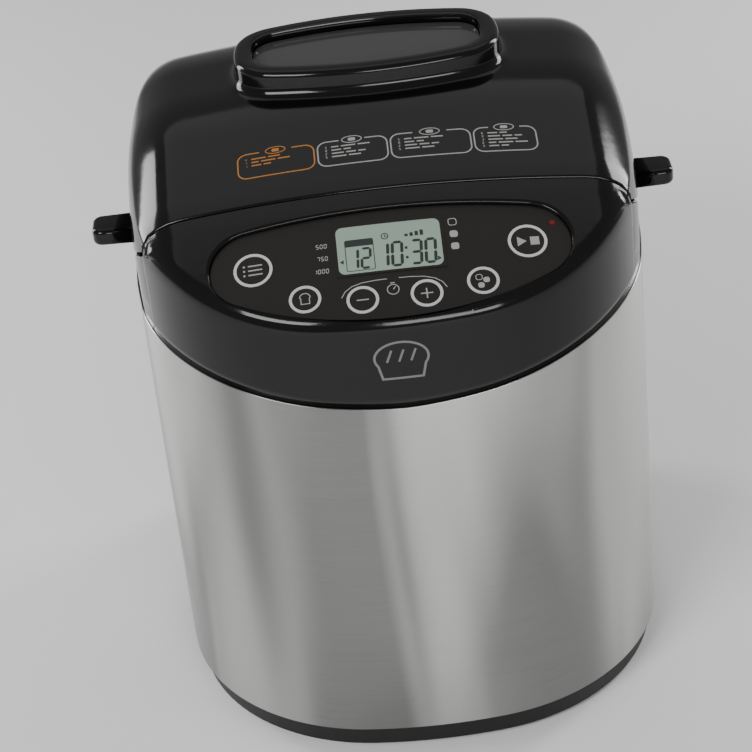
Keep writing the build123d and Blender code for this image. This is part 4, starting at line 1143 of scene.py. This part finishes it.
def print_bezel():
    """The dark border that gives the display its round corners."""
    bm = bmesh.new()
    middle = Vector((0, LCD_S))
    inner = [Vector(p) for p in round_box(*middle, LCD_W - 2.2, LCD_H - 1.6, 3.0)]
    outer = []
    for point in inner:
        way = point - middle
        reach = max(abs(way.x) / (LCD_W / 2 + BEZEL_OVER), abs(way.y) / (LCD_H / 2 + BEZEL_OVER))
        outer.append(middle + way / reach)
    near = [bm.verts.new((*p, 0)) for p in inner]
    far = [bm.verts.new((*p, 0)) for p in outer]
    for i in range(len(near)):
        j = (i + 1) % len(near)
        bm.faces.new((near[i], far[i], far[j], near[j]))
    long_edges = [edge for edge in bm.edges if edge.calc_length() > 12]
    bmesh.ops.subdivide_edges(bm, edges=long_edges, cuts=9, use_grid_fill=True)
    black = finishes["panel_film"]
    printed("lcd_bezel", bm, on_film(PANEL_DEPTH - 0.24), black, "machine")


# Programme boxes on the lid: ink, left and right ends, lines of text
LID_BOXES = (
    ("amber", -65.0, -29.5, 3),
    ("grey", -27.8, 4.4, 4),
    ("grey", 6.0, 42.8, 4),
    ("grey", 44.4, 73.0, 5),
)
LID_BOX_LOW = -52.0
LID_BOX_HIGH = -36.5
BADGE_GAP = 5.4


def print_lid():
    """Rounded boxes with a badge in their top edge and short bars in place of text."""
    drawings = {"amber": bmesh.new(), "grey": bmesh.new()}
    low, high = LID_BOX_LOW, LID_BOX_HIGH
    for ink, x0, x1, lines in LID_BOXES:
        bm = drawings[ink]
        middle = (x0 + x1) / 2
        outline = with_sides(round_box(middle, (low + high) / 2, x1 - x0, high - low, 4.2), 3.0)
        top_left = [(p.y > high - 0.1, p.x < middle, p.x) for p in outline]
        start = top_left.index(max(top_left))
        order = outline[start:] + outline[:start]
        ribbon(bm, [p for p in order if p.y < high - 0.1 or abs(p.x - middle) > BADGE_GAP], 0.65)
        badge = [(middle + 4.6 * cos(a), high + 2.1 * sin(a)) for a in (2 * pi * i / 20 for i in range(20))]
        ribbon(bm, badge, 0.45, closed=True)
        patch(bm, round_box(middle, high, 3.4, 2.0, 0.7))
        for i in range(lines):
            y = high - 3.6 - i * 2.1
            number(bm, str((i * 3 + lines) % 9 + 1), x0 + 3.6, y - 0.6, 1.2)
            x = x0 + 6.4
            for j in range(3 - (i + lines) % 2):
                length = 3.4 + (i * 5 + j * 3 + lines) % 4 * 1.1
                if x + length < x1 - 2.5:
                    ribbon(bm, [(x, y), (x + length, y)], 0.75)
                x += length + 1.1
    for ink, bm in drawings.items():
        printed("lid_print_" + ink, bm, on_lid_slope, inks[ink], "lid")


def print_front():
    """A plain loaf pictogram on the front band."""
    bm = bmesh.new()
    z = 222.0
    crown = ring_points(0, z + 3.0, 8.0, -0.5, pi + 0.5, 22)
    crown = [(x * 1.5, y) for x, y in crown]
    ribbon(bm, with_sides([(9.0, z - 7.5)] + crown + [(-9.0, z - 7.5)], 1.5), 1.1, closed=True)
    for i in (-1, 0, 1):
        ribbon(bm, [(i * 5.4 - 1.2, z + 1.0), (i * 5.4 + 1.2, z + 7.0)], 1.0)
    printed("front_pictogram", bm, on_front, inks["dim"], "machine")


# ------------------------------------------------------------------ pieces

SHARP = 28
ON_FORM = 0.06


def body_of(node):
    return next(body for body in bodies if node in bodies[body])


def attach(piece, node):
    """Rides a piece on a node's body, with the node's slot and finish."""
    piece.data.materials.append(finishes[slots[node]])
    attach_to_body(piece, body_of(node))


def joined_copy(node):
    """A node's mesh with its triangles joined."""
    bm = bmesh.new()
    bm.from_mesh(nodes[node].data)
    bmesh.ops.remove_doubles(bm, verts=bm.verts, dist=0.001 * MM)
    return bm


def smooth(piece):
    piece.data.shade_smooth()
    piece.data.set_sharp_from_angle(angle=radians(SHARP))


def smooth_copy(node):
    """Replaces a node by its own shape, shaded smooth between its edges."""
    piece = new_piece(node + "_skin", joined_copy(node))
    smooth(piece)
    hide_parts(node)
    attach(piece, node)


def inside_of(node, is_outer):
    """A node's faces but for those that its skin stands for, its open edge tucked in."""
    bm = joined_copy(node)
    bmesh.ops.delete(bm, geom=[face for face in bm.faces if is_outer(face)], context="FACES")
    for vert in bm.verts:
        if vert.is_boundary:
            place = vert.co / MM
            vert.co = (place - facing(place)) * MM
    piece = new_piece(node + "_inside", bm)
    smooth(piece)
    attach(piece, node)


def on_body(face):
    """Whether a face lies on the body's outer form, whose edges the CAD leaves sharp."""
    return all(abs(outside_body(vert.co / MM, edge=0.01)) < ON_FORM for vert in face.verts)


def on_lid(face):
    """Whether a face lies on the body's form or on the window ring's outside."""
    if on_body(face):
        return True
    middle = face.calc_center_median() / MM
    gap = RING.distance(middle.x, middle.y)
    return middle.z > PANE_TOP - 2 and gap > -RING_BAND - 0.5 or middle.z > 292 and abs(gap) < 0.2


def dress(node, patches, is_outer):
    """Replaces a glossy shell by a clean outer skin and the inner faces of its own mesh."""
    outer = skin(node + "_skin", patches, LID_HEART)
    give_wall(outer, SHEET_T)
    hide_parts(node)
    attach(outer, node)
    inside_of(node, is_outer)


def wrap_steel():
    """The steel sheet, whose skin has its own thickness."""
    steel = skin("steel_sheet", steel_patches(), Vector((0, 0, 100)), angle=60)
    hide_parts("steel_wrap")
    attach(steel, "steel_wrap")


set_camera()
set_studio()
finishes = slot_finishes()
inks = {
    "grey": screen_ink("grey_screen_ink", "#a5a5a2"),
    "dim": screen_ink("dim_screen_ink", "#6f7072"),
    "amber": screen_ink("amber_screen_ink", "#b9772a"),
    "lcd": screen_ink("lcd_segment", "#27302c"),
}
for name, item in nodes.items():
    item.data.materials.clear()
    item.data.materials.append(finishes[slots[name]])
dress("lid_shell", lid_patches(), on_lid)
dress("upper_housing", housing_patches(), on_body)
wrap_steel()
for name in ("base_tray", "lid_tab_left", "lid_tab_right"):
    smooth_copy(name)
print_panel()
print_keys()
print_display()
print_bezel()
print_lid()
print_front()
